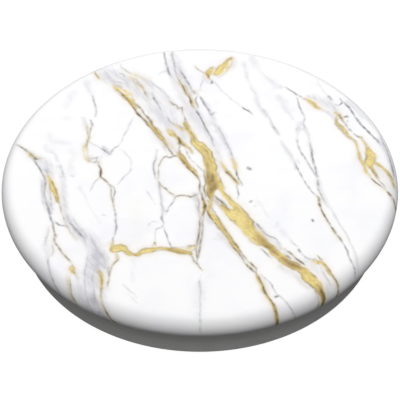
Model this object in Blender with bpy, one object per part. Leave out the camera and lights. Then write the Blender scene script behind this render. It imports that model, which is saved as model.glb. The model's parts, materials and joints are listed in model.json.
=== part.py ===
"""An expanding phone grip, closed flat.

A printed disc sits on a folded rubber bellows, and the bellows sits in a shallow base that sticks to the back of a
phone.  Pulling the disc unfolds the bellows in two stages.  The whole bellows swivels in the base, and the disc
turns a quarter turn on the bellows to come off its twist lock.

Frame: +Z up, origin at the centre of the sticky face.  Lengths are in metres, written as numbers of MM.
"""

import math

import bmesh
import bpy
from mathutils import Vector

MM = 0.001

# Driving dimensions -------------------------------------------------------------------------------------------
TOP_RADIUS = 20.0 * MM          # widest circle of the printed disc
TOP_THICKNESS = 3.0 * MM        # printed disc, rim included
CLOSED_HEIGHT = 6.95 * MM       # sticky face to the top of the disc
RIM_REACH = 1.25 * MM           # how far the rounded rim stands out past the flat top
BASE_RADIUS = 18.05 * MM        # foot of the base's side wall
BASE_BOTTOM = 0.3 * MM          # the adhesive stands this far below the base
BASE_TOP = 3.75 * MM

GAP = 0.1 * MM                  # between pieces that are fixed to each other
RUNNING_GAP = 0.15 * MM         # between pieces that move past each other

PAD_THICKNESS = 0.6 * MM
PLATE_THICKNESS = 0.5 * MM
FILM_THICKNESS = 0.25 * MM
CAP_THICKNESS = 0.6 * MM
WALL = 0.7 * MM                 # thickness of every bellows wall
FOLD_REACH = 0.55 * MM          # middle-line radius of each bend in the bellows

OUTER_SIDES = 64                # facets round the outside pieces
INNER_SIDES = 48                # facets round the inside pieces

# Heights worked out from the driving dimensions ---------------------------------------------------------------
RIM_MIDDLE = CLOSED_HEIGHT - TOP_THICKNESS / 2
DISC_BOTTOM = CLOSED_HEIGHT - TOP_THICKNESS
FILM_BOTTOM = CLOSED_HEIGHT - FILM_THICKNESS
CAP_TOP = FILM_BOTTOM - GAP
CAP_UNDERSIDE = CAP_TOP - CAP_THICKNESS
PLATE_BOTTOM = PAD_THICKNESS + GAP
PLATE_TOP = PLATE_BOTTOM + PLATE_THICKNESS
BELLOWS_BOTTOM = PLATE_TOP + RUNNING_GAP
BELLOWS_TOP = CAP_UNDERSIDE - RUNNING_GAP
BEND_LOW = BELLOWS_BOTTOM + WALL / 2 + FOLD_REACH     # centre height of the lower bends
BEND_HIGH = BELLOWS_TOP - WALL / 2 - FOLD_REACH       # centre height of the upper bends

# Radii of the bellows' middle line, from outside to inside ----------------------------------------------------
LEAN = 0.6 * MM                 # each wall leans this much over its height
OUTER_WALL_TOP = 15.2 * MM
LOWER_FOLD_TOP = OUTER_WALL_TOP - 2 * FOLD_REACH
MIDDLE_WALL_BOTTOM = LOWER_FOLD_TOP - LEAN - 2 * FOLD_REACH
MIDDLE_WALL_TOP = MIDDLE_WALL_BOTTOM - LEAN
UPPER_FOLD_TOP = MIDDLE_WALL_TOP - 2 * FOLD_REACH
INNER_WALL_BOTTOM = UPPER_FOLD_TOP - LEAN - 2 * FOLD_REACH
INNER_WALL_TOP = INNER_WALL_BOTTOM - LEAN

# Base ---------------------------------------------------------------------------------------------------------
BORE_RADIUS = 17.1 * MM
PAD_RADIUS = BORE_RADIUS - 2 * GAP
PLATE_RADIUS = BORE_RADIUS - GAP
LIP_RADIUS = 16.45 * MM
LIP_HEIGHT = 0.55 * MM
FOOT_RADIUS = BORE_RADIUS - RUNNING_GAP
FOOT_THICKNESS = 0.5 * MM
LIP_BOTTOM = BELLOWS_BOTTOM + FOOT_THICKNESS + RUNNING_GAP

# Twist lock ---------------------------------------------------------------------------------------------------
CUP_RADIUS = INNER_WALL_TOP - WALL / 2 - GAP
CUP_WALL = 0.7 * MM
CUP_FLOOR = 0.65 * MM
CUP_BOTTOM = PLATE_TOP + 0.5 * MM
LUG_REACH = 1.1 * MM            # how far the cup's two lugs stand in
LUG_HALF_ANGLE = 35
LUG_BOTTOM, LUG_TOP = 4.5 * MM, 5.15 * MM
PLUG_RADIUS = 6.0 * MM
PLUG_WALL = 0.8 * MM
PLUG_BOTTOM = CUP_BOTTOM + CUP_FLOOR + 0.3 * MM
PLUG_PLATE = 0.5 * MM
WING_RADIUS = 7.1 * MM
WING_HALF_ANGLE = 33
WING_BOTTOM, WING_TOP = 3.4 * MM, 4.3 * MM
STOP_ANGLE, STOP_HALF_ANGLE = 135, 10
STAKE_CIRCLE = 3.6 * MM         # the melted posts that hold the plug under the cap
STAKE_RADIUS = 0.45 * MM
STAKE_HEAD_RADIUS = 0.8 * MM
STAKE_COUNT = 4
TOOTH_COUNT = 6                 # radial teeth that hold the cup still while the disc is pressed and turned
TOOTH_HEIGHT = 0.3 * MM
TOOTH_INNER, TOOTH_OUTER = 3.0 * MM, 6.0 * MM
TOOTH_HALF_ANGLE = 6

# Colours: base colour, roughness, metallic -----------------------------------------------------------------------
COLOURS = {
    "marble_print": ((0.93, 0.93, 0.94), 0.35, 0.0),
    "white_plastic": ((0.80, 0.80, 0.80), 0.40, 0.0),
    "grey_plastic": ((0.30, 0.30, 0.295), 0.45, 0.0),
    "grey_rubber": ((0.24, 0.24, 0.24), 0.70, 0.0),
    "adhesive": ((0.03, 0.03, 0.032), 0.55, 0.0),
}


def clear_scene():
    for obj in list(bpy.data.objects):
        bpy.data.objects.remove(obj, do_unlink=True)


def material(name):
    """The Principled material of that name, made once."""
    found = bpy.data.materials.get(name)
    if found:
        return found
    colour, roughness, metallic = COLOURS[name]
    made = bpy.data.materials.new(name)
    made.use_nodes = True
    shader = made.node_tree.nodes["Principled BSDF"]
    shader.inputs["Base Color"].default_value = (*colour, 1.0)
    shader.inputs["Roughness"].default_value = roughness
    shader.inputs["Metallic"].default_value = metallic
    made.diffuse_color = (*colour, 1.0)
    return made


def add_object(name, mesh_edit, material_name=None, parent=None):
    """Turns a bmesh into a named object with smooth round faces and sharp corners."""
    bmesh.ops.recalc_face_normals(mesh_edit, faces=mesh_edit.faces)
    mesh = bpy.data.meshes.new(name)
    mesh_edit.to_mesh(mesh)
    mesh_edit.free()
    mesh.shade_smooth()
    mesh.set_sharp_from_angle(angle=math.radians(35))
    obj = bpy.data.objects.new(name, mesh)
    bpy.context.scene.collection.objects.link(obj)
    if material_name:
        mesh.materials.append(material(material_name))
    obj.parent = parent
    return obj


def turned(outline, sides):
    """A bmesh turned about Z from (radius, height) points.  An outline that starts on the axis also ends on it."""
    made = bmesh.new()
    points = [made.verts.new((radius, 0.0, height)) for radius, height in outline]
    edges = [made.edges.new(pair) for pair in zip(points, points[1:])]
    if outline[0][0] > 0:
        edges.append(made.edges.new((points[-1], points[0])))
    bmesh.ops.spin(
        made,
        geom=points + edges,
        cent=(0, 0, 0),
        axis=(0, 0, 1),
        angle=math.tau,
        steps=sides,
        use_merge=True,
    )
    bmesh.ops.remove_doubles(made, verts=made.verts, dist=1e-7)
    return made


def sector(inner, outer, bottom, top, middle_degrees, half_degrees, steps=6):
    """A bmesh block that follows a circle, such as a lug or a wing of the twist lock."""
    made = bmesh.new()
    start = math.radians(middle_degrees - half_degrees)
    corners = [(inner, bottom), (outer, bottom), (outer, top), (inner, top)]
    ring = [
        made.verts.new((radius * math.cos(start), radius * math.sin(start), height))
        for radius, height in corners
    ]
    face = made.faces.new(ring)
    bmesh.ops.spin(
        made,
        geom=[face],
        cent=(0, 0, 0),
        axis=(0, 0, 1),
        angle=math.radians(2 * half_degrees),
        steps=steps,
        use_duplicate=False,
    )
    return made


def rod(radius, bottom, top, x, y, sides=16):
    """A bmesh cylinder that stands along Z."""
    made = bmesh.new()
    bmesh.ops.create_cone(
        made, cap_ends=True, segments=sides, radius1=radius, radius2=radius, depth=top - bottom
    )
    bmesh.ops.translate(made, verts=made.verts, vec=(x, y, (top + bottom) / 2))
    return made


def shape_with(obj, tool_name, tool_mesh, operation):
    """Adds or cuts a hidden helper shape with a Boolean modifier."""
    tool = add_object(tool_name, tool_mesh, parent=obj.parent)
    tool.hide_render = True
    tool.display_type = "WIRE"
    step = obj.modifiers.new(tool_name, "BOOLEAN")
    step.object = tool
    step.operation = operation


def band(middle_line, thickness):
    """The closed outline of a wall of even thickness along a line of (radius, height) points."""
    line = [Vector(point) for point in middle_line]
    left, right = [], []
    for index, point in enumerate(line):
        before = line[max(index - 1, 0)]
        after = line[min(index + 1, len(line) - 1)]
        along = (after - before).normalized()
        across = Vector((-along.y, along.x)) * thickness / 2
        left.append(tuple(point + across))
        right.append(tuple(point - across))
    return left + right[::-1]


def arc(centre, reach, start_degrees, end_degrees, steps, rise=None):
    """Points on a circle, or on an ellipse with another reach along Z, in the (radius, height) plane."""
    rise = reach if rise is None else rise
    angles = [
        math.radians(start_degrees + (end_degrees - start_degrees) * step / steps)
        for step in range(steps + 1)
    ]
    return [(centre[0] + reach * math.cos(a), centre[1] + rise * math.sin(a)) for a in angles]


# Base ---------------------------------------------------------------------------------------------------------


def make_adhesive_pad(parent):
    edge = 0.1 * MM
    outline = [
        (0, 0),
        (PAD_RADIUS - edge, 0),
        (PAD_RADIUS, edge),
        (PAD_RADIUS, PAD_THICKNESS),
        (0, PAD_THICKNESS),
    ]
    add_object("adhesive_pad", turned(outline, INNER_SIDES), "adhesive", parent)


def make_base_plate(parent):
    """The disc that closes the base from below, with a ring of radial teeth in the middle."""
    outline = [(0, PLATE_BOTTOM), (PLATE_RADIUS, PLATE_BOTTOM), (PLATE_RADIUS, PLATE_TOP), (0, PLATE_TOP)]
    plate = add_object("base_plate", turned(outline, INNER_SIDES), "grey_plastic", parent)
    for number in range(TOOTH_COUNT):
        tooth = sector(
            TOOTH_INNER,
            TOOTH_OUTER,
            PLATE_TOP - PLATE_THICKNESS / 2,
            PLATE_TOP + TOOTH_HEIGHT,
            number * 360 / TOOTH_COUNT,
            TOOTH_HALF_ANGLE,
            steps=1,
        )
        shape_with(plate, f"tooth_{number}", tooth, "UNION")


def make_base_ring(parent):
    """The visible side wall, with an inward lip over the bellows' foot."""
    foot_round = 0.4 * MM
    top_round = 0.3 * MM
    wall_top = BASE_RADIUS + 0.25 * MM
    outline = [
        (BORE_RADIUS, BASE_BOTTOM),
        *arc((BASE_RADIUS - foot_round, BASE_BOTTOM + foot_round), foot_round, -90, 0, 3),
        *arc((wall_top - top_round, BASE_TOP - top_round), top_round, 0, 90, 3),
        (BORE_RADIUS + GAP, BASE_TOP),
        (LIP_RADIUS, LIP_BOTTOM + LIP_HEIGHT),
        (LIP_RADIUS, LIP_BOTTOM),
        (BORE_RADIUS, LIP_BOTTOM),
    ]
    add_object("base_ring", turned(outline, OUTER_SIDES), "grey_plastic", parent)


# Bellows ------------------------------------------------------------------------------------------------------


def make_foot_ring(parent):
    """The stiff ring inside the bellows' foot, which runs under the base's lip."""
    inner = OUTER_WALL_TOP - WALL / 2
    outline = [
        (inner - 0.4 * MM, BELLOWS_BOTTOM),
        (FOOT_RADIUS, BELLOWS_BOTTOM),
        (FOOT_RADIUS, BELLOWS_BOTTOM + FOOT_THICKNESS),
        (inner + GAP, BELLOWS_BOTTOM + FOOT_THICKNESS),
        (inner + GAP, BEND_LOW),
        (inner - 0.4 * MM, BEND_LOW),
    ]
    add_object("foot_ring", turned(outline, INNER_SIDES), "grey_plastic", parent)


def make_wall(name, bottom, top, parent):
    """A stiff wall of the bellows between two (radius, height) points."""
    add_object(name, turned(band([bottom, top], WALL), INNER_SIDES), "grey_rubber", parent)


def make_fold(name, top_radius, parent):
    """The part of the bellows that turns over: down from an upper bend, and out through a lower bend."""
    bottom_radius = top_radius - LEAN
    upper = arc((top_radius + FOLD_REACH, BEND_HIGH), FOLD_REACH, 0, 180, 6)
    lower = arc((bottom_radius - FOLD_REACH, BEND_LOW), FOLD_REACH, 0, -180, 6)
    middle_line = upper + lower
    middle_line[0] = (middle_line[0][0], BEND_HIGH + GAP / 2)
    middle_line[-1] = (middle_line[-1][0], BEND_LOW - GAP / 2)
    add_object(name, turned(band(middle_line, WALL), INNER_SIDES), "grey_rubber", parent)


# Twist lock and disc --------------------------------------------------------------------------------------------


def make_button_cup(parent):
    """The stiff cup inside the bellows' crown: two lugs hold the plug down, and two stops end its turn."""
    flange = INNER_WALL_TOP + WALL / 2
    inner = CUP_RADIUS - CUP_WALL
    floor_top = CUP_BOTTOM + CUP_FLOOR
    flange_bottom = BEND_HIGH + 3 * GAP + FOLD_REACH / 2
    outline = [
        (0, CUP_BOTTOM),
        (CUP_RADIUS, CUP_BOTTOM),
        (CUP_RADIUS, flange_bottom),
        (flange, flange_bottom),
        (flange, BELLOWS_TOP),
        (inner, BELLOWS_TOP),
        (inner, floor_top),
        (0, floor_top),
    ]
    cup = add_object("button_cup", turned(outline, INNER_SIDES), "white_plastic", parent)
    buried = inner + CUP_WALL / 2
    for number in range(2):
        turn = number * 180
        lug = sector(inner - LUG_REACH, buried, LUG_BOTTOM, LUG_TOP, turn, LUG_HALF_ANGLE)
        shape_with(cup, f"lug_{number}", lug, "UNION")
        stop = sector(
            inner - 0.8 * LUG_REACH, buried, WING_BOTTOM, WING_TOP, turn + STOP_ANGLE, STOP_HALF_ANGLE, steps=1
        )
        shape_with(cup, f"stop_{number}", stop, "UNION")
    for number in range(TOOTH_COUNT):
        notch = sector(
            TOOTH_INNER - 2 * GAP,
            TOOTH_OUTER + 2 * GAP,
            CUP_BOTTOM - GAP,
            CUP_BOTTOM + TOOTH_HEIGHT,
            number * 360 / TOOTH_COUNT,
            TOOTH_HALF_ANGLE + 3,
            steps=1,
        )
        shape_with(cup, f"notch_{number}", notch, "DIFFERENCE")


def make_twist_plug(parent):
    """The hollow plug under the disc, with two wings that lie below the cup's lugs until it is turned."""
    top = CAP_UNDERSIDE - GAP
    plate_bottom = top - PLUG_PLATE
    inner = PLUG_RADIUS - PLUG_WALL
    outline = [
        (0, top),
        (WING_RADIUS, top),
        (WING_RADIUS, plate_bottom),
        (PLUG_RADIUS, plate_bottom),
        (PLUG_RADIUS, PLUG_BOTTOM),
        (inner, PLUG_BOTTOM),
        (inner, plate_bottom),
        (0, plate_bottom),
    ]
    plug = add_object("twist_plug", turned(outline, INNER_SIDES), "white_plastic", parent)
    for number in range(2):
        wing = sector(
            PLUG_RADIUS - PLUG_WALL / 2, WING_RADIUS, WING_BOTTOM, WING_TOP, number * 180, WING_HALF_ANGLE
        )
        shape_with(plug, f"wing_{number}", wing, "UNION")
    for number, (x, y) in enumerate(stake_places()):
        hole = rod(STAKE_RADIUS + GAP, plate_bottom - PLUG_PLATE, top + PLUG_PLATE, x, y)
        shape_with(plug, f"stake_hole_{number}", hole, "DIFFERENCE")


def stake_places():
    turns = [math.tau * (number + 0.5) / STAKE_COUNT for number in range(STAKE_COUNT)]
    return [(STAKE_CIRCLE * math.cos(turn), STAKE_CIRCLE * math.sin(turn)) for turn in turns]


def rim_arc(inset, start_degrees, end_degrees, steps):
    """The rounded rim's curve, moved in by inset."""
    centre = (TOP_RADIUS - RIM_REACH, RIM_MIDDLE)
    rise = TOP_THICKNESS / 2 - inset
    return arc(centre, RIM_REACH - inset, start_degrees, end_degrees, steps, rise)


def make_top_cap(parent):
    """The white disc that carries the print, hollow below to hold the folded bellows."""
    recess = 17.2 * MM
    outline = [
        (0, CAP_TOP),
        *rim_arc(FILM_THICKNESS + GAP, 90, -66, 10),
        *rim_arc(0, -66, -90, 2),
        (recess, DISC_BOTTOM),
        (recess, CAP_UNDERSIDE - 0.4 * MM),
        (recess - 0.4 * MM, CAP_UNDERSIDE),
        (0, CAP_UNDERSIDE),
    ]
    cap = add_object("top_cap", turned(outline, OUTER_SIDES), "white_plastic", parent)
    plug_plate_bottom = CAP_UNDERSIDE - GAP - PLUG_PLATE
    for number, (x, y) in enumerate(stake_places()):
        post = rod(STAKE_RADIUS, plug_plate_bottom - 2 * GAP, CAP_UNDERSIDE + CAP_THICKNESS / 2, x, y)
        shape_with(cap, f"stake_{number}", post, "UNION")
        head = rod(STAKE_HEAD_RADIUS, plug_plate_bottom - 4 * GAP, plug_plate_bottom - GAP, x, y)
        shape_with(cap, f"stake_head_{number}", head, "UNION")


def make_print_film(parent):
    """The printed skin, moulded over the cap and round its rim."""
    outline = [
        (0, CLOSED_HEIGHT),
        *rim_arc(0, 90, -60, 10),
        *rim_arc(FILM_THICKNESS, -60, 90, 10),
        (0, FILM_BOTTOM),
    ]
    add_object("print_film", turned(outline, OUTER_SIDES), "marble_print", parent)


def empty(name, parent=None):
    """A group of pieces that move together.  All the axes of motion are the Z axis, so it stays at the origin."""
    made = bpy.data.objects.new(name, None)
    bpy.context.scene.collection.objects.link(made)
    made.parent = parent
    return made


def main():
    clear_scene()
    base = empty("base_group")
    foot = empty("foot_group", base)
    middle = empty("middle_group", foot)
    crown = empty("crown_group", middle)
    top = empty("top_group", crown)

    make_adhesive_pad(base)
    make_base_plate(base)
    make_base_ring(base)

    make_foot_ring(foot)
    wall_foot = BELLOWS_BOTTOM + FOOT_THICKNESS + GAP
    make_wall("bellows_outer_wall", (OUTER_WALL_TOP + LEAN, wall_foot), (OUTER_WALL_TOP, BEND_HIGH - GAP / 2), foot)
    make_fold("bellows_lower_fold", LOWER_FOLD_TOP, foot)

    wall_low = BEND_LOW + GAP / 2
    make_wall("bellows_middle_wall", (MIDDLE_WALL_BOTTOM, wall_low), (MIDDLE_WALL_TOP, BEND_HIGH - GAP / 2), middle)
    make_fold("bellows_upper_fold", UPPER_FOLD_TOP, middle)

    make_wall("bellows_inner_wall", (INNER_WALL_BOTTOM, wall_low), (INNER_WALL_TOP, BEND_HIGH + 2 * GAP), crown)
    make_button_cup(crown)

    make_twist_plug(top)
    make_top_cap(top)
    make_print_film(top)


main()
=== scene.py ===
# %% [markdown]
# # An expanding phone grip, closed flat
#
# The grip is a printed disc on a folded rubber bellows, which swivels in a shallow base that sticks to a
# phone. The imported model gives the solids, their places and how they move. This file gives each of them
# its looks. The imported model is loaded first.

import json
import math

import bmesh
import bpy
import numpy as np
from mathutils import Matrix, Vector, noise


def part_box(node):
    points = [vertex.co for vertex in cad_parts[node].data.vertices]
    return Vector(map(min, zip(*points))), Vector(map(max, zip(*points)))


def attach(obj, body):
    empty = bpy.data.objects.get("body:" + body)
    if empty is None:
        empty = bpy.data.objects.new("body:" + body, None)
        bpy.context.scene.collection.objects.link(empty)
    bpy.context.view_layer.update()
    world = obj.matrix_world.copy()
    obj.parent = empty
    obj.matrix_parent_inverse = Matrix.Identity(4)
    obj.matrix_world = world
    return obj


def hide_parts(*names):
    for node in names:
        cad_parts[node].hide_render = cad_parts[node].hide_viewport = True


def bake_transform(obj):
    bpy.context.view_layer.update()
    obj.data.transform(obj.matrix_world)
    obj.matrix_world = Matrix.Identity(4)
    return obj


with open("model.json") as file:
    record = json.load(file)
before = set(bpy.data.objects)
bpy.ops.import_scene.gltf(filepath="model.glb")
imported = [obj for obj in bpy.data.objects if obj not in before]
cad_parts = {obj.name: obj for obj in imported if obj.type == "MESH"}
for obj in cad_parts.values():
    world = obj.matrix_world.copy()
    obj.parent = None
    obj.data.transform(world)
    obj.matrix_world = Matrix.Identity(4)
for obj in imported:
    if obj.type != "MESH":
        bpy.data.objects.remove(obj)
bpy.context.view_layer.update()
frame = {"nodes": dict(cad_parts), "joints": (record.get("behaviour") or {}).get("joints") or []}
MM = 0.001

# %% [markdown]
# ## A small language for shader nodes
#
# A finish is easier to read as a sum than as a list of links. `Number` wraps one output socket, and its
# operators add Math nodes, so `1 - mask` and `mask * 0.5` work as they do on paper. `Finish` owns one
# material: `node` makes any node, `mix` blends two colours, and the other methods are the few patterns
# that several finishes share. Everything is laid out in millimetres of Object coordinates, so a pattern
# keeps its real size on every piece.

# %% Numbers that build Math nodes
class Number:
    def __init__(self, finish, socket):
        self.finish, self.socket = finish, socket

    def _math(self, operation, first, second=None):
        values = {0: first} if second is None else {0: first, 1: second}
        return Number(self.finish, self.finish.node("ShaderNodeMath", {"operation": operation}, values))

    def __add__(self, other):
        return self._math("ADD", self, other)

    def __sub__(self, other):
        return self._math("SUBTRACT", self, other)

    def __mul__(self, other):
        return self._math("MULTIPLY", self, other)

    def __rsub__(self, other):
        return self._math("SUBTRACT", other, self)

    __radd__, __rmul__ = __add__, __mul__

    def sine(self):
        return self._math("SINE", self)

    def ramp(self, low, high):
        """0 below low, 1 above high, and smooth between them."""
        settings, values = {"interpolation_type": "SMOOTHSTEP"}, {0: self, 1: low, 2: high}
        return Number(self.finish, self.finish.node("ShaderNodeMapRange", settings, values))


# %% One material and its nodes
class Finish:
    def __init__(self, name):
        self.material = bpy.data.materials.new(name)
        self.material.use_nodes = True
        self.tree = self.material.node_tree
        self.shader = self.tree.nodes["Principled BSDF"]
        place = self.node("ShaderNodeTexCoord", output="Object")
        self.mm = self.node("ShaderNodeVectorMath", {"operation": "SCALE"}, {0: place, "Scale": 1 / MM})

    def fill(self, socket, value):
        value = value.socket if isinstance(value, Number) else value
        if isinstance(value, bpy.types.NodeSocket):
            self.tree.links.new(value, socket)
        else:
            socket.default_value = value

    def node(self, kind, settings=None, values=None, output=0):
        made = self.tree.nodes.new(kind)
        for key, value in (settings or {}).items():
            setattr(made, key, value)
        for key, value in (values or {}).items():
            self.fill(made.inputs[key], value)
        return made.outputs[output]

    def noise(self, size_mm, detail=2.0, roughness=0.5, where=None, distortion=0.0):
        """Cloudy noise from 0 to 1, whose blobs are about size_mm across."""
        values = {"Vector": where or self.mm, "Scale": 1 / size_mm, "Detail": detail}
        values |= {"Roughness": roughness, "Distortion": distortion}
        return Number(self, self.node("ShaderNodeTexNoise", None, values))

    def streaked(self, degrees, stretch):
        """The millimetres turned and squeezed, so that noise becomes streaks along one direction."""
        values = {0: self.mm, "Rotation": (0, 0, math.radians(degrees)), "Scale": (stretch, 1, 1)}
        return self.node("ShaderNodeMapping", {"vector_type": "TEXTURE"}, values)

    def attribute(self, name):
        return Number(self, self.node("ShaderNodeAttribute", {"attribute_name": name}, output="Fac"))

    def mix(self, amount, first, second):
        settings = {"data_type": "RGBA", "clamp_factor": True}
        return self.node("ShaderNodeMix", settings, {0: amount, 6: first, 7: second}, output=2)

    def bump(self, height, depth_mm):
        """Height runs from 0 to 1 over depth_mm."""
        values = {"Strength": 1.0, "Distance": depth_mm * MM, "Height": height}
        self.fill(self.shader.inputs["Normal"], self.node("ShaderNodeBump", None, values))

    def set(self, **sockets):
        for name, value in sockets.items():
            self.fill(self.shader.inputs[name.replace("_", " ").title().replace("Ior", "IOR")], value)


def colour(red, green, blue):
    """A screen colour from 0 to 255 as the linear colour that shaders use."""
    linear = [((c / 255 + 0.055) / 1.055) ** 2.4 if c > 10 else c / 255 / 12.92 for c in (red, green, blue)]
    return (*linear, 1.0)


# %% [markdown]
# ## Turned pieces
#
# Most of a grip is turned: the same outline all the way round. A Geometry Nodes tree does the turning.
# It reads the outline from the piece's own edges, sweeps it round a circle, joins the seam and the pole,
# and sets the material. The outline is drawn at high resolution, because an edge with a real rounding
# catches the light.

# %% The turning tree
PATH_RADIUS = 10 * MM           # the outline is drawn relative to this circle


def turning_tree():
    tree = bpy.data.node_groups.new("Turned piece", "GeometryNodeTree")
    interface = tree.interface
    interface.new_socket("Outline", in_out="INPUT", socket_type="NodeSocketGeometry")
    sides = interface.new_socket("Sides", in_out="INPUT", socket_type="NodeSocketInt")
    finish = interface.new_socket("Finish", in_out="INPUT", socket_type="NodeSocketMaterial")
    interface.new_socket("Piece", in_out="OUTPUT", socket_type="NodeSocketGeometry")
    new, link = tree.nodes.new, tree.links.new
    given, result = new("NodeGroupInput"), new("NodeGroupOutput")
    outline = new("GeometryNodeMeshToCurve")
    link(given.outputs["Outline"], outline.inputs[0])
    circle = new("GeometryNodeCurvePrimitiveCircle")
    circle.inputs["Radius"].default_value = PATH_RADIUS
    link(given.outputs["Sides"], circle.inputs["Resolution"])
    upright = new("GeometryNodeSetCurveNormal")
    upright.mode = "Z_UP"
    link(circle.outputs[0], upright.inputs[0])
    sweep = new("GeometryNodeCurveToMesh")
    link(upright.outputs[0], sweep.inputs["Curve"])
    link(outline.outputs[0], sweep.inputs["Profile Curve"])
    join = new("GeometryNodeMergeByDistance")
    join.inputs["Distance"].default_value = 0.0005 * MM
    link(sweep.outputs[0], join.inputs[0])
    real = new("GeometryNodeRealizeInstances")
    link(join.outputs[0], real.inputs[0])
    paint = new("GeometryNodeSetMaterial")
    link(real.outputs[0], paint.inputs["Geometry"])
    link(given.outputs["Finish"], paint.inputs["Material"])
    link(paint.outputs[0], result.inputs[0])
    return tree, sides.identifier, finish.identifier


TURNING, SIDES_INPUT, FINISH_INPUT = turning_tree()


# %% Turn an outline
def add_mesh_object(name, mesh):
    piece = bpy.data.objects.new(name, mesh)
    bpy.context.scene.collection.objects.link(piece)
    return piece


def face_outwards(mesh, sharp_degrees=40):
    """Welds the mesh, turns its faces outwards, and keeps only its steep edges sharp."""
    work = bmesh.new()
    work.from_mesh(mesh)
    bmesh.ops.remove_doubles(work, verts=work.verts, dist=1e-7)
    bmesh.ops.dissolve_degenerate(work, edges=work.edges, dist=1e-8)
    bmesh.ops.recalc_face_normals(work, faces=work.faces)
    work.to_mesh(mesh)
    work.free()
    mesh.shade_smooth()
    mesh.set_sharp_from_angle(angle=math.radians(sharp_degrees))


def plain_mesh(drawn, name):
    """The mesh that an object's modifiers make. The object itself is no longer needed."""
    mesh = bpy.data.meshes.new_from_object(drawn.evaluated_get(bpy.context.evaluated_depsgraph_get()))
    mesh.name = name
    bpy.data.objects.remove(drawn)
    face_outwards(mesh)
    return mesh


def turned(name, outline, finish, sides=192):
    """A closed piece turned from (radius, height) points in mm, which may start and end on the axis."""
    points = [(radius * MM - PATH_RADIUS, -height * MM, 0) for radius, height in outline]
    closed = outline[0][0] > 0
    edges = [(i, i + 1) for i in range(len(points) - 1)] + ([(len(points) - 1, 0)] if closed else [])
    mesh = bpy.data.meshes.new(name)
    mesh.from_pydata(points, edges, [])
    drawn = add_mesh_object(name + "_outline", mesh)
    turning = drawn.modifiers.new("turning", "NODES")
    turning.node_group = TURNING
    turning[SIDES_INPUT] = sides
    turning[FINISH_INPUT] = finish.material
    result = plain_mesh(drawn, name)
    print(f"{name}: {len(outline)} outline points, {len(result.polygons)} faces")
    return add_mesh_object(name, result)


# %% [markdown]
# ### Drawing outlines
#
# A moulded part has no truly sharp edge. `rounded` takes the few corners of an outline, each with its
# own radius, and replaces each corner by a small arc.

# %% Round the corners of an outline
def arc(centre, across, up, start, end, steps):
    """Points on an ellipse about centre, from start to end in degrees."""
    turns = [math.radians(start + (end - start) * step / steps) for step in range(steps + 1)]
    return [(centre[0] + across * math.cos(turn), centre[1] + up * math.sin(turn)) for turn in turns]


def rounded(corners, closed=True, steps=5):
    """corners are (radius, height, rounding) in mm. Each becomes an arc that touches both its edges."""
    made = []
    count = len(corners)
    for index, (x, z, size) in enumerate(corners):
        here = Vector((x, z))
        if size == 0 or (not closed and index in (0, count - 1)):
            made.append((x, z))
            continue
        to_last = (Vector(corners[index - 1][:2]) - here).normalized()
        to_next = (Vector(corners[(index + 1) % count][:2]) - here).normalized()
        half = to_last.angle(to_next) / 2
        reach = size / math.tan(half)
        first, last = here + to_last * reach, here + to_next * reach
        centre = here + (to_last + to_next).normalized() * size / math.sin(half)
        for step in range(steps + 1):
            chord = first.lerp(last, step / steps) - centre
            made.append(tuple(centre + chord.normalized() * size))
    return made


# %% [markdown]
# ## Finishes of the plain pieces
#
# The base, the cap and the locks are injection moulded. Such plastic is one colour, but never quite: its
# gloss wanders a little, it has a fine spark-eroded grain, and its edges polish with handling. The
# bellows is a soft thermoplastic rubber: duller, with a softer grain and a little pale dust caught in it.

# %% Moulded plastic
def moulded_plastic(name, tint, roughness, grain_mm, grain_depth_mm):
    finish = Finish(name)
    clouds = finish.noise(2.6, detail=3.0)
    grain = finish.noise(grain_mm, detail=2.0, roughness=0.6)
    scuffs = finish.noise(0.9, detail=4.0, roughness=0.7, distortion=0.6).ramp(0.58, 0.74)
    darker = tuple(c * 0.88 for c in tint[:3]) + (1.0,)
    lighter = tuple(min(c * 1.07, 1.0) for c in tint[:3]) + (1.0,)
    finish.set(
        base_color=finish.mix(clouds * 0.8 + scuffs * 0.25, darker, lighter),
        roughness=roughness - 0.06 + clouds * 0.08 + scuffs * 0.07,
    )
    finish.bump(grain, grain_depth_mm)
    return finish


grey_plastic = moulded_plastic("grey_moulded_plastic", (0.62, 0.62, 0.61, 1), 0.5, 0.10, 0.004)
white_plastic = moulded_plastic("white_moulded_plastic", (0.82, 0.82, 0.815, 1), 0.42, 0.12, 0.003)
print("plastics:", grey_plastic.material.name, white_plastic.material.name)


# %% Soft bellows rubber
def bellows_rubber():
    finish = Finish("bellows_rubber")
    clouds = finish.noise(1.7, detail=3.0)
    grain = finish.noise(0.07, detail=3.0, roughness=0.65)
    dust = finish.noise(0.35, detail=4.0, roughness=0.75).ramp(0.56, 0.72)
    height = Number(finish, finish.node("ShaderNodeSeparateXYZ", None, {0: finish.mm}, output="Z"))
    flow_lines = (height * 24.0 + clouds * 2.0).sine() * 0.5 + 0.5
    finish.set(
        base_color=finish.mix(clouds * 0.5 + dust * 0.5, (0.21, 0.21, 0.212, 1), (0.30, 0.30, 0.298, 1)),
        roughness=0.66 + clouds * 0.1 + dust * 0.08,
        sheen_weight=0.25,
        sheen_roughness=0.5,
    )
    finish.bump(grain * 0.7 + flow_lines * 0.3, 0.006)
    return finish


rubber = bellows_rubber()
print("rubber:", rubber.material.name)


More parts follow.
